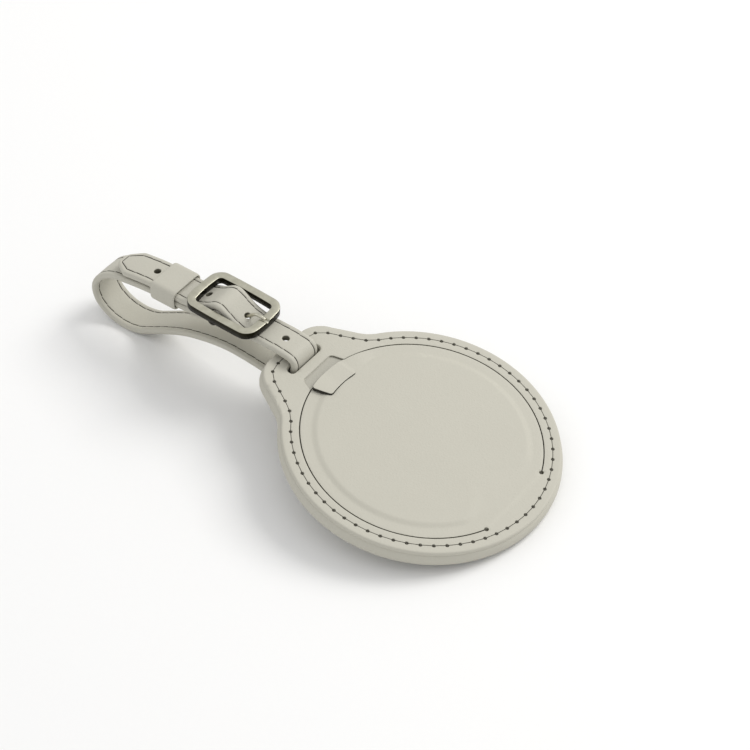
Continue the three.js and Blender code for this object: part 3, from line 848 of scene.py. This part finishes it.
def face_height(half, rim, v, punched, off_seam=None):
    """Half thickness of the strap, with a rolled rim, a stitched furrow and eased punched holes."""
    off_seam = np.abs(v) - STRAP_STITCH_Y if off_seam is None else off_seam
    furrow = FURROW * np.exp(-((off_seam / 0.2) ** 2))
    crown = 0.05 * np.clip(1 - (v / 3.1) ** 2, 0, 1)
    return half - ease(rim, np.minimum(half, STRAP_RIM)) - furrow + crown - ease(punched, HOLE_RIM)


def strap_rows(start, end, step=0.5):
    """Points in rows along a strap, closer together on its rims and its stitch lines."""
    across = [STRAP_HALF - d for d in rim_rows(STRAP_RIM)]
    across += [3.75, 3.55, 3.45, STRAP_STITCH_Y, 3.25, 3.12, 2.9, 2.0, 1.0, 0]
    us = np.arange(start + step, end - step / 2, step)
    return np.vstack([np.column_stack([us, np.full(len(us), sign * v)]) for v in across for sign in (1, -1)])


def hole_loop(u, out=0.0):
    return arc(u, 0, HOLE_R + out, 0, 350, 35)


def hole_rows(u):
    return np.vstack([hole_loop(u, d) for d in rim_rows(HOLE_RIM) + [0.45]])


def hole_distance(uv, holes):
    """Distance outside the nearest of the holes punched at these distances along a run."""
    return np.min([np.hypot(uv[:, 0] - u, uv[:, 1]) for u in holes], axis=0) - HOLE_R


def prong_slot():
    """Slot for the prong in the fold's middle; its ends are half circles."""
    r = PRONG_SLOT["half"]
    reach = PRONG_SLOT["reach"]
    return np.vstack([arc(FOLD_U + reach, 0, r, -90, 90, 14), arc(FOLD_U - reach, 0, r, 90, 270, 14)])


def make_strap():
    end = STRAP.at_x(SPLICE_X)
    punched = [STRAP.at_x(x) for x in STRAP_HOLES]
    corners = np.array([[0, -STRAP_HALF], [end, -STRAP_HALF], [end, STRAP_HALF], [0, STRAP_HALF]])
    loops = [spaced(corners, 0.48, closed=True), prong_slot(), *(hole_loop(u) for u in punched)]
    rows = np.vstack([strap_rows(0, end), *(hole_rows(u) for u in punched)])
    along = np.maximum(np.abs(rows[:, 0] - FOLD_U) - PRONG_SLOT["reach"], 0)
    off_slot = np.hypot(along, rows[:, 1]) > PRONG_SLOT["half"] + 0.1
    inner = thinned(rows[(hole_distance(rows, punched) > 0.02) & off_slot], 0.06)

    def height(uv):
        u, v = uv.T
        return face_height(half_thickness(u), STRAP_HALF - np.abs(v), v, hole_distance(uv, punched))

    strap = new_object("strap_leather", *sheet(loops, inner, *STRAP.skins(height)))
    blend_at_slot(strap)
    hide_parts("strap_wrap", "strap_slot_bend", "strap_free_run")
    finish_piece(strap, "strap_leather")
    # The punched holes' walls take the dark cut-edge colour, which also paints in the shade inside the holes.
    paint(strap, "cut_edge", punched_wall(STRAP, punched))


def punched_wall(run, holes):
    """Picks the faces that line the holes punched at these distances along a run."""
    at_holes = np.array([[u, 0] for u in holes])
    middles = run.point(at_holes, np.zeros(len(holes)))
    axes = run.point(at_holes, np.ones(len(holes))) - middles

    def chosen(centres, normals):
        found = np.zeros(len(centres), bool)
        for middle, axis in zip(middles, axes):
            away = centres - middle
            level = away @ axis
            radial = np.linalg.norm(away - np.outer(level, axis), axis=1)
            found |= (radial < HOLE_R + 0.02) & (np.abs(level) < STRAP_T) & (np.abs(normals @ axis) < 0.4)
        return found

    return chosen


def blend_at_slot(piece):
    """Bakes the piece's placement into its vertices."""
    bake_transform(piece)


def stitch_row(run, marks, side, across, level, facing):
    """Stitches from mark to mark along a run, across(u) to one side and level(u) off its centre line."""
    parts = []
    for a, b in zip(marks[:-1], marks[1:]):
        slant = side * STITCH_SLANT
        ends = ((a - STITCH_LAP, side * across(a) + slant), (b + STITCH_LAP, side * across(b) - slant))
        place = run.above(facing * level((a + b) / 2))
        parts.append(stitch(ends, 0.0, THREAD_R, place, facing, dive=0.18))
    return parts


def make_strap_stitches():
    marks = np.arange(FOLD_U + 9, STRAP.at_x(SPLICE_X) - 1, STRAP_PITCH)
    parts = []
    for side in (-1, 1):
        for facing in (-1, 1):
            parts += stitch_row(STRAP, marks, side, lambda u: STRAP_STITCH_Y, strap_furrow, facing)
    thread = new_object("strap_thread", *merged(parts))
    blend_at_slot(thread)
    finish_piece(thread, "thread")


def strap_furrow(u):
    """Height of the furrow's floor above the strap's centre line."""
    return half_thickness(u) - FURROW


def tail_outline():
    """The tail narrows to a blunt tip a few millimetres wide."""
    tip = TAIL.length
    start = TAIL.at_x(SPLICE_X)
    shape = np.array([[start, -STRAP_HALF], [tip - 4.7, -STRAP_HALF], [tip - 1.2, -2.5], [tip - 0.15, -1.2],
                      [tip - 0.15, 1.2], [tip - 1.2, 2.5], [tip - 4.7, STRAP_HALF], [start, STRAP_HALF]])
    loop = rounded(shape, 0.8)
    return loop[loop[:, 0] > start + 0.9], start


def make_tail():
    eased, start = tail_outline()
    first = np.argmin(np.where(eased[:, 1] < 0, eased[:, 0], 99))
    eased = spaced(np.roll(eased, -first, axis=0), 0.35)
    ends = np.column_stack([np.full(21, start), np.linspace(STRAP_HALF, -STRAP_HALF, 21)])
    loop = np.vstack([eased, ends])
    holes = [TAIL.at_x(TAIL_HOLE)]

    fine = spaced(eased, 0.1)
    ahead = np.gradient(fine, axis=0)

    def rim(uv):
        from_edge = [-off_line(p, fine, ahead) for p in uv]
        return np.where(uv[:, 0] < start + 1, STRAP_HALF - np.abs(uv[:, 1]), from_edge)

    def height(uv):
        punched = hole_distance(uv, holes)
        return face_height(STRAP_T / 2, np.maximum(rim(uv), 0), uv[:, 1], punched, off_tail_seam(uv))

    offsets = (-0.36, -0.2, -0.1, 0, 0.1, 0.2, 0.36)
    furrow_rows = [inset(spaced(line, 0.3), d) for line in tail_seam() for d in offsets]
    rows = np.vstack([*furrow_rows, strap_rows(start, TAIL.length, 0.4)])
    rows = rows[(rim(rows) > 0.1) & (hole_distance(rows, holes) > 0.05)]
    bands = [inset(eased, d) for d in rim_rows(STRAP_RIM)]
    inner = thinned(np.vstack([*bands, hole_rows(holes[0]), rows]), 0.07)
    inner = inner[(inner[:, 0] > start + 0.1) & (rim(inner) > 0.02)]
    parts = sheet([loop, hole_loop(holes[0])], inner, *TAIL.skins(height))
    tail = new_object("strap_tail_leather", *parts)
    blend_at_keeper(tail)
    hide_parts("strap_tail")
    finish_piece(tail, "strap_leather")
    # The punched hole's walls take the dark cut-edge colour, which also paints in the shade inside the hole.
    paint(tail, "cut_edge", punched_wall(TAIL, holes))


def tail_seam():
    """The tail's stitch lines: two straight rows that converge, and a short one across the tip."""
    first, bend, last = TAIL.at_x(-83.8), TAIL.length - 5.2, TAIL.length - 1.75
    side = np.array([[first, STRAP_STITCH_Y], [bend, STRAP_STITCH_Y], [last, TIP_STITCH_Y]])
    across = np.array([[last, -TIP_STITCH_Y], [last, TIP_STITCH_Y]])
    return [side, side * (1, -1), across]


def off_tail_seam(uv):
    """Distance from the nearest of the tail's stitch lines."""
    found = np.full(len(uv), FAR)
    for line in tail_seam():
        for a, b in zip(line[:-1], line[1:]):
            t = np.clip((uv - a) @ (b - a) / ((b - a) @ (b - a)), 0, 1)
            found = np.minimum(found, np.hypot(*(uv - a - np.outer(t, b - a)).T))
    return found


def blend_at_keeper(piece):
    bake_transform(piece)


def inset(line, d):
    """An open polyline moved sideways by d, towards its left."""
    return line + d * directions(line)[:, (1, 0)] * (-1, 1)


def make_tail_stitches():
    level = STRAP_T / 2 - 0.1
    upper, _, across = tail_seam()
    first, bend, last = upper[:, 0]
    marks = [*np.linspace(first, bend, 4), last]
    parts = []

    def across_at(u):
        return np.interp(u, *upper.T)

    for facing in (-1, 1):
        for side in (-1, 1):
            parts += stitch_row(TAIL, marks, side, across_at, lambda u: level, facing)
        parts.append(stitch(across, 0.0, THREAD_R, TAIL.above(facing * level), facing, dive=0.1))
    thread = new_object("tail_thread", *merged(parts))
    blend_at_keeper(thread)
    finish_piece(thread, "thread")


# ---- keeper and buckle ----

def local_frame(part):
    """Takes points of a small part's own frame to the tag's frame."""
    turn = np.array(Matrix.Rotation(-math.radians(part["tilt"]), 3, "Y"))
    return lambda p: np.asarray(p) @ turn.T + np.array(part["at"])


def section(profile, loop_at):
    """Sweeps a closed profile of (out, height) round a closed plan: loop_at(out) gives the plan's points."""
    rings = [loop_at(out) for out, _ in profile]
    count = len(rings[0])
    around = [np.array([[*rings[k][i], profile[k][1]] for k in range(len(profile))]) for i in range(count)]
    return swept(around, closed=True)


def make_keeper():
    """A thin loop of leather with soft corners, its edges rounded and its faces slightly domed."""
    half, t = KEEPER["length"] / 2, KEEPER["t"]
    turns = np.radians(np.arange(0, 360, 15))
    rounds = [(math.sin(a), math.cos(a)) for a in turns]
    profile = [(t / 2 + t / 2 * math.copysign(abs(s) ** 0.8, s), half * math.copysign(abs(c) ** 0.22, c))
               for s, c in rounds]

    def loop_at(out):
        loop = box_loop(0, 0, KEEPER["width"] / 2 + out, KEEPER["height"] / 2 + out, 1.1 + out, 8)
        return spaced_box(loop, 4)

    vertices, faces = section(profile, loop_at)
    vertices = vertices[:, (2, 0, 1)]
    keeper = new_object("keeper_leather", local_frame(KEEPER)(vertices), faces)
    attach(keeper, "keeper")
    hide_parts("keeper_loop")
    finish_piece(keeper, "strap_leather")


def spaced_box(loop, between):
    """The rounded box's points with `between` more on each straight side, evenly spread."""
    corners = np.split(loop, 4)
    out = []
    for k, corner in enumerate(corners):
        following = corners[(k + 1) % 4][0]
        t = np.linspace(0, 1, between + 2)[1:-1, None]
        out += [corner, corner[-1] * (1 - t) + following * t]
    return np.vstack(out)


def frame_loop(out):
    """Plan of the buckle's ring, `out` from its outer edge; its ends and its long sides bow out a little."""
    inward = -out / FRAME["side"]
    half_x = FRAME["length"] / 2 - inward * FRAME["end"]
    half_y = FRAME["width"] / 2 + out
    corner = FRAME_R + (FRAME_INNER_R - FRAME_R) * inward
    loop = spaced_box(box_loop(0, 0, half_x, half_y, corner, 12), 46)
    across, along = loop[:, 1] / half_y, loop[:, 0] / half_x
    ends = FRAME_BOW["ends"] * (1 - 0.45 * inward) * across**2
    sides = FRAME_BOW["sides"] * along**2
    return loop - np.column_stack([ends * along**3, sides * across**3])


def make_buckle():
    """Flat-topped ring with small chamfers, dished over its prong end, and two ears that hold the bar."""
    side, half = FRAME["side"], FRAME["t"] / 2
    profile = [(0, -half + 0.2), (0, half - 0.14), (-0.04, half - 0.04), (-0.14, half),
               (-side + 0.14, half), (-side + 0.04, half - 0.04), (-side, half - 0.14),
               (-side, -half + 0.2), (-side + 0.2, -half), (-0.2, -half)]
    vertices, faces = section(profile, frame_loop)
    groove = np.exp(-((vertices[:, 1] / PRONG_GROOVE["half"]) ** 4))
    groove *= (vertices[:, 0] > 0) * (vertices[:, 2] > 0)
    vertices[:, 2] -= PRONG_GROOVE["depth"] * groove
    place = local_frame(FRAME)
    parts = [(place(vertices), faces)]
    for y in (-1, 1):
        seat = y * (FRAME["width"] - side) / 2
        stem = [(BAR[0], seat, BAR[1] - 1.35 + k * 0.35) for k in range(8)]
        half_widths = [0.25, 0.475, 0.625, 0.7, 0.7, 0.7, 0.725, 0.8]
        parts.append(tube(stem, (0, 1, 0), half_widths, sides=16, flatten=2.0))
    ring = new_object("buckle_ring", *merged(parts), sharp_deg=60)
    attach(ring, "buckle")
    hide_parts("buckle_frame")
    finish_piece(ring, "gunmetal", "buckle_metal")


def make_bar():
    reach = FRAME["width"] / 2 - 0.9
    ys = np.array([-1, -0.985, -0.95, -0.6, 0, 0.6, 0.95, 0.985, 1]) * reach
    radii = BAR_R * np.array([0.55, 0.85, 1, 1, 1, 1, 1, 0.85, 0.55])
    line = np.column_stack([np.full(9, BAR[0]), ys, np.full(9, BAR[1])])
    bar = new_object("buckle_bar", *tube(line, (1, 0, 0), radii, sides=28))
    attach(bar, "buckle")
    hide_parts("buckle_center_bar")
    finish_piece(bar, "gunmetal", "buckle_metal")


def make_prong():
    """A bent wire, flattened where it lies on the frame, with an eye round the bar."""
    line = spaced(spline(PRONG_RUN), 0.25)
    line = np.column_stack([line[:, 0], np.zeros(len(line)), line[:, 1]])
    along = np.linspace(0, 1, len(line))
    radii = PRONG_R * (1 - 0.25 * smoothstep(0.85, 1, along)) * np.where(along > 0.985, 0.75, 1)
    turns = np.radians(np.linspace(10, 350, 40))
    eye = np.outer(np.cos(turns), (EYE["r"], 0, 0)) + np.outer(np.sin(turns), (0, 0, EYE["r"]))
    eye += (BAR[0], 0, BAR[1])
    wire = tube(line, (0, 1, 0), radii, sides=14, flatten=0.85)
    parts = [wire, tube(eye, (0, 1, 0), EYE["wire"], sides=12)]
    prong = new_object("buckle_prong_wire", *merged(parts))
    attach(prong, "prong")
    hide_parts("buckle_prong")
    finish_piece(prong, "gunmetal", "prong_metal")


# ---- materials ----

class Nodes:
    """A new material's node tree, with short calls for the nodes used here."""

    def __init__(self, name):
        self.material = bpy.data.materials.new(name)
        self.material.use_nodes = True
        self.tree = self.material.node_tree
        self.shader = self.tree.nodes["Principled BSDF"]
        self.place = self.tree.nodes.new("ShaderNodeTexCoord").outputs["Object"]

    def link(self, source, target):
        self.tree.links.new(source, target)

    def noise(self, per_mm, detail=3.0, rough=0.55):
        node = self.tree.nodes.new("ShaderNodeTexNoise")
        node.inputs["Scale"].default_value = per_mm * 1000
        node.inputs["Detail"].default_value = detail
        node.inputs["Roughness"].default_value = rough
        self.link(self.place, node.inputs["Vector"])
        return node.outputs["Fac"]

    def cells(self, per_mm, feature):
        node = self.tree.nodes.new("ShaderNodeTexVoronoi")
        node.feature = feature
        node.inputs["Scale"].default_value = per_mm * 1000
        self.link(self.place, node.inputs["Vector"])
        return node.outputs["Distance"]

    def range(self, source, low, high, to_low, to_high):
        node = self.tree.nodes.new("ShaderNodeMapRange")
        for key, value in zip(("From Min", "From Max", "To Min", "To Max"), (low, high, to_low, to_high)):
            node.inputs[key].default_value = value
        self.link(source, node.inputs["Value"])
        return node.outputs["Result"]

    def math(self, operation, a, b):
        node = self.tree.nodes.new("ShaderNodeMath")
        node.operation = operation
        for socket, value in zip(node.inputs, (a, b)):
            if isinstance(value, (int, float)):
                socket.default_value = value
            else:
                self.link(value, socket)
        return node.outputs[0]

    def mix(self, amount, a, b):
        node = self.tree.nodes.new("ShaderNodeMix")
        node.data_type = "RGBA"
        for key, value in (("Factor_Float", amount), ("A_Color", a), ("B_Color", b)):
            socket = next(s for s in node.inputs if s.identifier == key)
            if isinstance(value, (int, float)):
                socket.default_value = value
            elif isinstance(value, tuple):
                socket.default_value = (*value, 1)
            else:
                self.link(value, socket)
        return next(s for s in node.outputs if s.identifier == "Result_Color")

    def bump(self, height, distance_mm, strength, below=None):
        node = self.tree.nodes.new("ShaderNodeBump")
        node.inputs["Strength"].default_value = strength
        node.inputs["Distance"].default_value = distance_mm / 1000
        self.link(height, node.inputs["Height"])
        if below:
            self.link(below, node.inputs["Normal"])
        return node.outputs["Normal"]

    def finish(self, color, rough, normal=None, **fixed):
        self.link(color, self.shader.inputs["Base Color"])
        self.link(rough, self.shader.inputs["Roughness"])
        if normal:
            self.link(normal, self.shader.inputs["Normal"])
        for key, value in fixed.items():
            self.shader.inputs[key.replace("_", " ")].default_value = value
        return self.material


def scaled(color, factor):
    """The colour made darker or paler."""
    return tuple(c * factor for c in color)


def leather_material(name, color, grain_mm=0.03):
    """Matte leather: fine pebbles, faint mottling, slightly paler on rims where it wears, and painted shade that
    darkens its creases.
    """
    n = Nodes(name)
    mottled = n.mix(n.range(n.noise(0.09, 2), 0.35, 0.65, 0, 1), scaled(color, 0.993), scaled(color, 1.007))
    speckled = n.mix(n.range(n.noise(2.6, 2), 0.4, 0.62, 0, 0.35), mottled, scaled(color, 0.95))
    edge_wear_and_crease_shade = n.tree.nodes.new("ShaderNodeNewGeometry").outputs["Pointiness"]
    paler = n.mix(n.range(edge_wear_and_crease_shade, 0.52, 0.6, 0, 0.35), speckled, scaled(color, 1.1))
    # Painted shade: hollow, creased places are coloured darker.
    painted_crease_shade = n.mix(n.range(edge_wear_and_crease_shade, 0.47, 0.4, 0, 0.5), paler, scaled(color, 0.78))
    pebbles = n.range(n.cells(2.1, "SMOOTH_F1"), 0.05, 0.55, 1, 0)
    pores = n.range(n.noise(5.5, 3), 0.3, 0.7, 0, 1)
    normal = n.bump(pores, grain_mm * 0.35, 0.7, n.bump(pebbles, grain_mm, 0.7))
    rough = n.range(n.noise(0.5, 4), 0.3, 0.7, 0.6, 0.66)
    return n.finish(painted_crease_shade, rough, normal, Specular_IOR_Level=0.38)


def thread_material(name, color):
    """Waxed thread: twisted plies give it fine slanting ribs."""
    n = Nodes(name)
    wave = n.tree.nodes.new("ShaderNodeTexWave")
    wave.bands_direction = "DIAGONAL"
    wave.inputs["Scale"].default_value = 900
    wave.inputs["Distortion"].default_value = 1.5
    n.link(n.place, wave.inputs["Vector"])
    plies = wave.outputs["Fac"]
    tone = n.mix(plies, scaled(color, 0.7), scaled(color, 1.3))
    return n.finish(tone, n.range(plies, 0, 1, 0.75, 0.6), n.bump(plies, 0.03, 0.8))


def cloth_material(name, color):
    """Short-nap lining."""
    n = Nodes(name)
    nap = n.noise(4, 4, 0.7)
    tone = n.mix(n.range(nap, 0.3, 0.7, 0, 1), scaled(color, 0.85), scaled(color, 1.12))
    return n.finish(tone, n.range(nap, 0, 1, 0.9, 0.98), n.bump(nap, 0.05, 0.8), Sheen_Weight=0.25)


def moulded_material(name, color, rough, texture_mm=0.01):
    """Moulded plastic, rubber or a chip package with a fine spark-eroded texture."""
    n = Nodes(name)
    erosion = n.noise(6, 3, 0.6)
    tone = n.mix(n.range(erosion, 0.3, 0.7, 0, 1), scaled(color, 0.92), scaled(color, 1.08))
    shine = n.range(n.noise(1.2, 3), 0.3, 0.7, rough - 0.05, rough + 0.06)
    return n.finish(tone, shine, n.bump(erosion, texture_mm, 0.6))


def metal_material(name, color, rough, marks=0.05):
    """Plated or bare metal with faint cloudy polish and hairline marks."""
    n = Nodes(name)
    clouds = n.noise(0.7, 4)
    hairs = n.noise(9, 2)
    tone = n.mix(n.range(clouds, 0.35, 0.65, 0, 1), scaled(color, 0.9), scaled(color, 1.08))
    shine = n.range(clouds, 0.3, 0.7, rough - marks, rough + marks)
    return n.finish(tone, shine, n.bump(hairs, 0.003, 0.4), Metallic=1.0)


def buckle_material():
    """Gunmetal plating, polished on the flat top; its sides are coloured near black as painted shade."""
    n = Nodes("buckle_metal")
    facing = n.tree.nodes.new("ShaderNodeVectorMath")
    facing.operation = "DOT_PRODUCT"
    tilt = math.radians(FRAME["tilt"])
    up = (PLACE.to_3x3() @ Vector((-math.sin(tilt), 0, math.cos(tilt)))).normalized()
    facing.inputs[1].default_value = up
    n.link(n.tree.nodes.new("ShaderNodeTexCoord").outputs["Normal"], facing.inputs[0])
    top = n.range(facing.outputs["Value"], 0.55, 0.93, 0, 1)
    clouds = n.range(n.noise(0.6, 4), 0.35, 0.65, 0, 1)
    polished = n.mix(clouds, (0.50, 0.485, 0.39), (0.56, 0.545, 0.45))
    # Painted shade: faces that turn away from the frame's top get a near-black colour in place of the plating's
    # own tone.
    body = n.mix(top, (0.02, 0.018, 0.01), polished)
    rough = n.range(clouds, 0, 1, 0.34, 0.42)
    return n.finish(body, rough, n.bump(n.noise(7, 2), 0.004, 0.4), Metallic=1.0)


def card_material():
    """Uncoated card with three faint ruled lines to write on."""
    n = Nodes("card_paper")
    split = n.tree.nodes.new("ShaderNodeSeparateXYZ")
    n.link(n.place, split.inputs[0])
    first = at(-8, 0, 0).x
    lines = None
    for k in range(3):
        away = n.math("ABSOLUTE", n.math("SUBTRACT", split.outputs["X"], first + 0.008 * k), 0)
        line = n.range(away, 0.00008, 0.00014, 1, 0)
        lines = line if lines is None else n.math("MAXIMUM", lines, line)
    short = n.range(n.math("ABSOLUTE", split.outputs["Y"], 0), 0.0165, 0.0168, 1, 0)
    ink = n.math("MULTIPLY", n.math("MULTIPLY", lines, short), 0.55)
    fibres = n.noise(3, 5, 0.7)
    paper = n.mix(n.range(fibres, 0.3, 0.7, 0, 1), (0.80, 0.79, 0.75), (0.88, 0.87, 0.83))
    written = n.mix(ink, paper, (0.3, 0.29, 0.26))
    return n.finish(written, n.range(fibres, 0, 1, 0.8, 0.9), n.bump(fibres, 0.01, 0.5))


def lamp_material():
    """Clear moulded light guide, faintly frosted."""
    n = Nodes("light_guide_clear")
    frost = n.noise(5, 3)
    tone = n.mix(frost, (0.86, 0.89, 0.89), (0.95, 0.97, 0.97))
    return n.finish(tone, n.range(frost, 0, 1, 0.15, 0.3), Transmission_Weight=0.6)


def board_material():
    """Green solder mask with paler copper traces beneath it."""
    n = Nodes("board_mask")
    traces = n.range(n.cells(0.9, "DISTANCE_TO_EDGE"), 0.04, 0.07, 1, 0)
    weave = n.noise(3, 3)
    mask = n.mix(weave, (0.008, 0.09, 0.045), (0.012, 0.12, 0.06))
    tone = n.mix(n.math("MULTIPLY", traces, 0.5), mask, (0.04, 0.22, 0.1))
    return n.finish(tone, n.range(weave, 0, 1, 0.25, 0.4), n.bump(traces, 0.03, 0.6))


LEATHER = (0.497, 0.482, 0.414)

# For each finish the function that makes it, then its material's name, colour and other values
FINISHES = {
    "leather": (leather_material, "case_leather", LEATHER),
    "strap_leather": (leather_material, "strap_leather", scaled(LEATHER, 0.985), 0.035),
    # Painted shade: darker leather for the notch's floor.
    "skived_leather": (leather_material, "skived_leather", scaled(LEATHER, 0.84)),
    # Dark cut edges of the slit; the same colour is also painted shade on the notch's wall and in the punched
    # holes.
    "cut_edge": (leather_material, "cut_edge", (0.14, 0.133, 0.1)),
    # Painted shadow: near-black walls and underside of the pull tab.
    "tab_edge": (leather_material, "tab_edge", (0.022, 0.02, 0.014)),
    "thread": (thread_material, "olive_thread", (0.035, 0.031, 0.019)),
    "lining": (cloth_material, "pocket_lining", (0.33, 0.315, 0.265)),
    "card": (card_material,),
    "stiffener": (moulded_material, "core_plastic", (0.34, 0.33, 0.28), 0.6),
    "module_plastic": (moulded_material, "module_plastic", (0.028, 0.028, 0.03), 0.45),
    "seal_rubber": (moulded_material, "seal_rubber", (0.02, 0.02, 0.02), 0.75),
    "board": (board_material,),
    "chip": (moulded_material, "chip_package", (0.016, 0.016, 0.018), 0.4),
    "copper": (metal_material, "copper", (0.72, 0.34, 0.19), 0.3),
    "switch_metal": (metal_material, "spring_brass", (0.75, 0.58, 0.3), 0.3),
    "lamp": (lamp_material,),
    "cell_foil": (metal_material, "cell_foil", (0.62, 0.63, 0.65), 0.38),
    "ferrite": (moulded_material, "ferrite_sheet", (0.045, 0.045, 0.05), 0.6),
    "button_rubber": (moulded_material, "button_cap", scaled(LEATHER, 0.8), 0.65, 0.02),
    "prong_metal": (metal_material, "prong_metal", (0.6, 0.58, 0.48), 0.34),
    "buckle_metal": (buckle_material,),
}
MADE = {}


def finish_named(name):
    """The material of a finish, made when it is first asked for."""
    if name not in MADE:
        make, *values = FINISHES[name]
        MADE[name] = make(*values)
    return MADE[name]


def finish_piece(piece, slot, finish=None):
    """Gives a piece its material slot and the finish of that slot, or another finish."""
    piece.data.materials.clear()
    piece.data.materials.append(finish_named(finish or slot))


def paint(piece, finish, chosen):
    """Gives a second finish to the faces that `chosen` picks by their centres and normals."""
    mesh = piece.data
    back = PLACE.inverted()
    centres = np.array([back @ p.center for p in mesh.polygons])
    turn = np.array(back.to_3x3().normalized())
    normals = np.array([p.normal for p in mesh.polygons]) @ turn.T
    mesh.materials.append(finish_named(finish))
    for i in np.flatnonzero(chosen(centres, normals)):
        mesh.polygons[i].material_index = len(mesh.materials) - 1


def finish_cad_nodes():
    """Carried CAD nodes keep their shape and get the finish of their material slot."""
    for part in frame["record"]["subparts"]:
        node = frame["nodes"][part["node"]]
        if not node.hide_render:
            finish_piece(node, part["material_slot"])


# ---- stage ----

def placed(name, data, place, turn):
    """A new object of the scene at a place, turned by a quaternion."""
    obj = shown(name, data)
    obj.location = place
    obj.rotation_mode = "QUATERNION"
    obj.rotation_quaternion = turn
    return obj


def make_camera():
    place = at(*CAMERA_FROM)
    ahead = (at(*CAMERA_TO) - place).normalized()
    roll = Matrix.Rotation(math.radians(CAMERA_ROLL), 3, "Z").to_quaternion()
    data = bpy.data.cameras.new("camera")
    data.lens = CAMERA_LENS
    data.sensor_width = 36
    data.clip_start, data.clip_end = 0.01, 50
    bpy.context.scene.camera = placed("camera", data, place, ahead.to_track_quat("-Z", "Y") @ roll)


def area_light(name, place, target, size, watts, color=(1, 1, 1)):
    """A square light, aimed at the target; places and sizes are in metres."""
    data = bpy.data.lights.new(name, "AREA")
    data.size = size
    data.energy = watts
    data.color = color
    placed(name, data, place, (Vector(target) - Vector(place)).to_track_quat("-Z", "Y"))


def make_lights():
    """A big soft key from beyond the tag's upper side, a weak fill and a pale surround."""
    area_light("key", (0.35, 0.75, 0.85), (0, 0, 0.01), 0.6, 7.9, (1, 0.99, 0.97))
    area_light("fill", (-0.9, -0.5, 0.8), (0, 0, 0.01), 0.8, 0.9)
    world = bpy.data.worlds.new("studio")
    world.use_nodes = True
    surround = world.node_tree.nodes["Background"]
    surround.inputs["Color"].default_value = (1, 1, 1, 1)
    surround.inputs["Strength"].default_value = 0.76
    bpy.context.scene.world = world
    bpy.context.scene.view_settings.view_transform = "Standard"


def floor_material():
    n = Nodes("floor_paper")
    fibre = n.noise(0.8, 3)
    tone = n.mix(fibre, (0.86, 0.86, 0.86), (0.875, 0.875, 0.87))
    return n.finish(tone, n.range(fibre, 0, 1, 0.7, 0.8))


def make_floor():
    """A level sweep of pale paper that curves up far behind the object."""
    depth, sweep_r, half_width = 3, 2, 4
    turns = np.radians(np.arange(15, 91, 15))
    ys = np.concatenate([np.linspace(-depth, depth, 13), depth + sweep_r * np.sin(turns)])
    zs = np.concatenate([np.zeros(13), sweep_r - sweep_r * np.cos(turns)]) - FLOOR_DROP
    mesh = bpy.data.meshes.new("floor")
    vertices = [(x, y, z) for y, z in zip(ys, zs) for x in (-half_width, half_width)]
    faces = [(2 * i, 2 * i + 1, 2 * i + 3, 2 * i + 2) for i in range(len(ys) - 1)]
    mesh.from_pydata(vertices, [], faces)
    mesh.materials.append(floor_material())
    floor = shown("floor", mesh)


make_camera()
make_lights()
make_floor()
make_front()
make_flap()
make_tab()
make_seam()
make_back()
make_strap()
make_strap_stitches()
make_tail()
make_tail_stitches()
make_keeper()
make_buckle()
make_bar()
make_prong()
finish_cad_nodes()
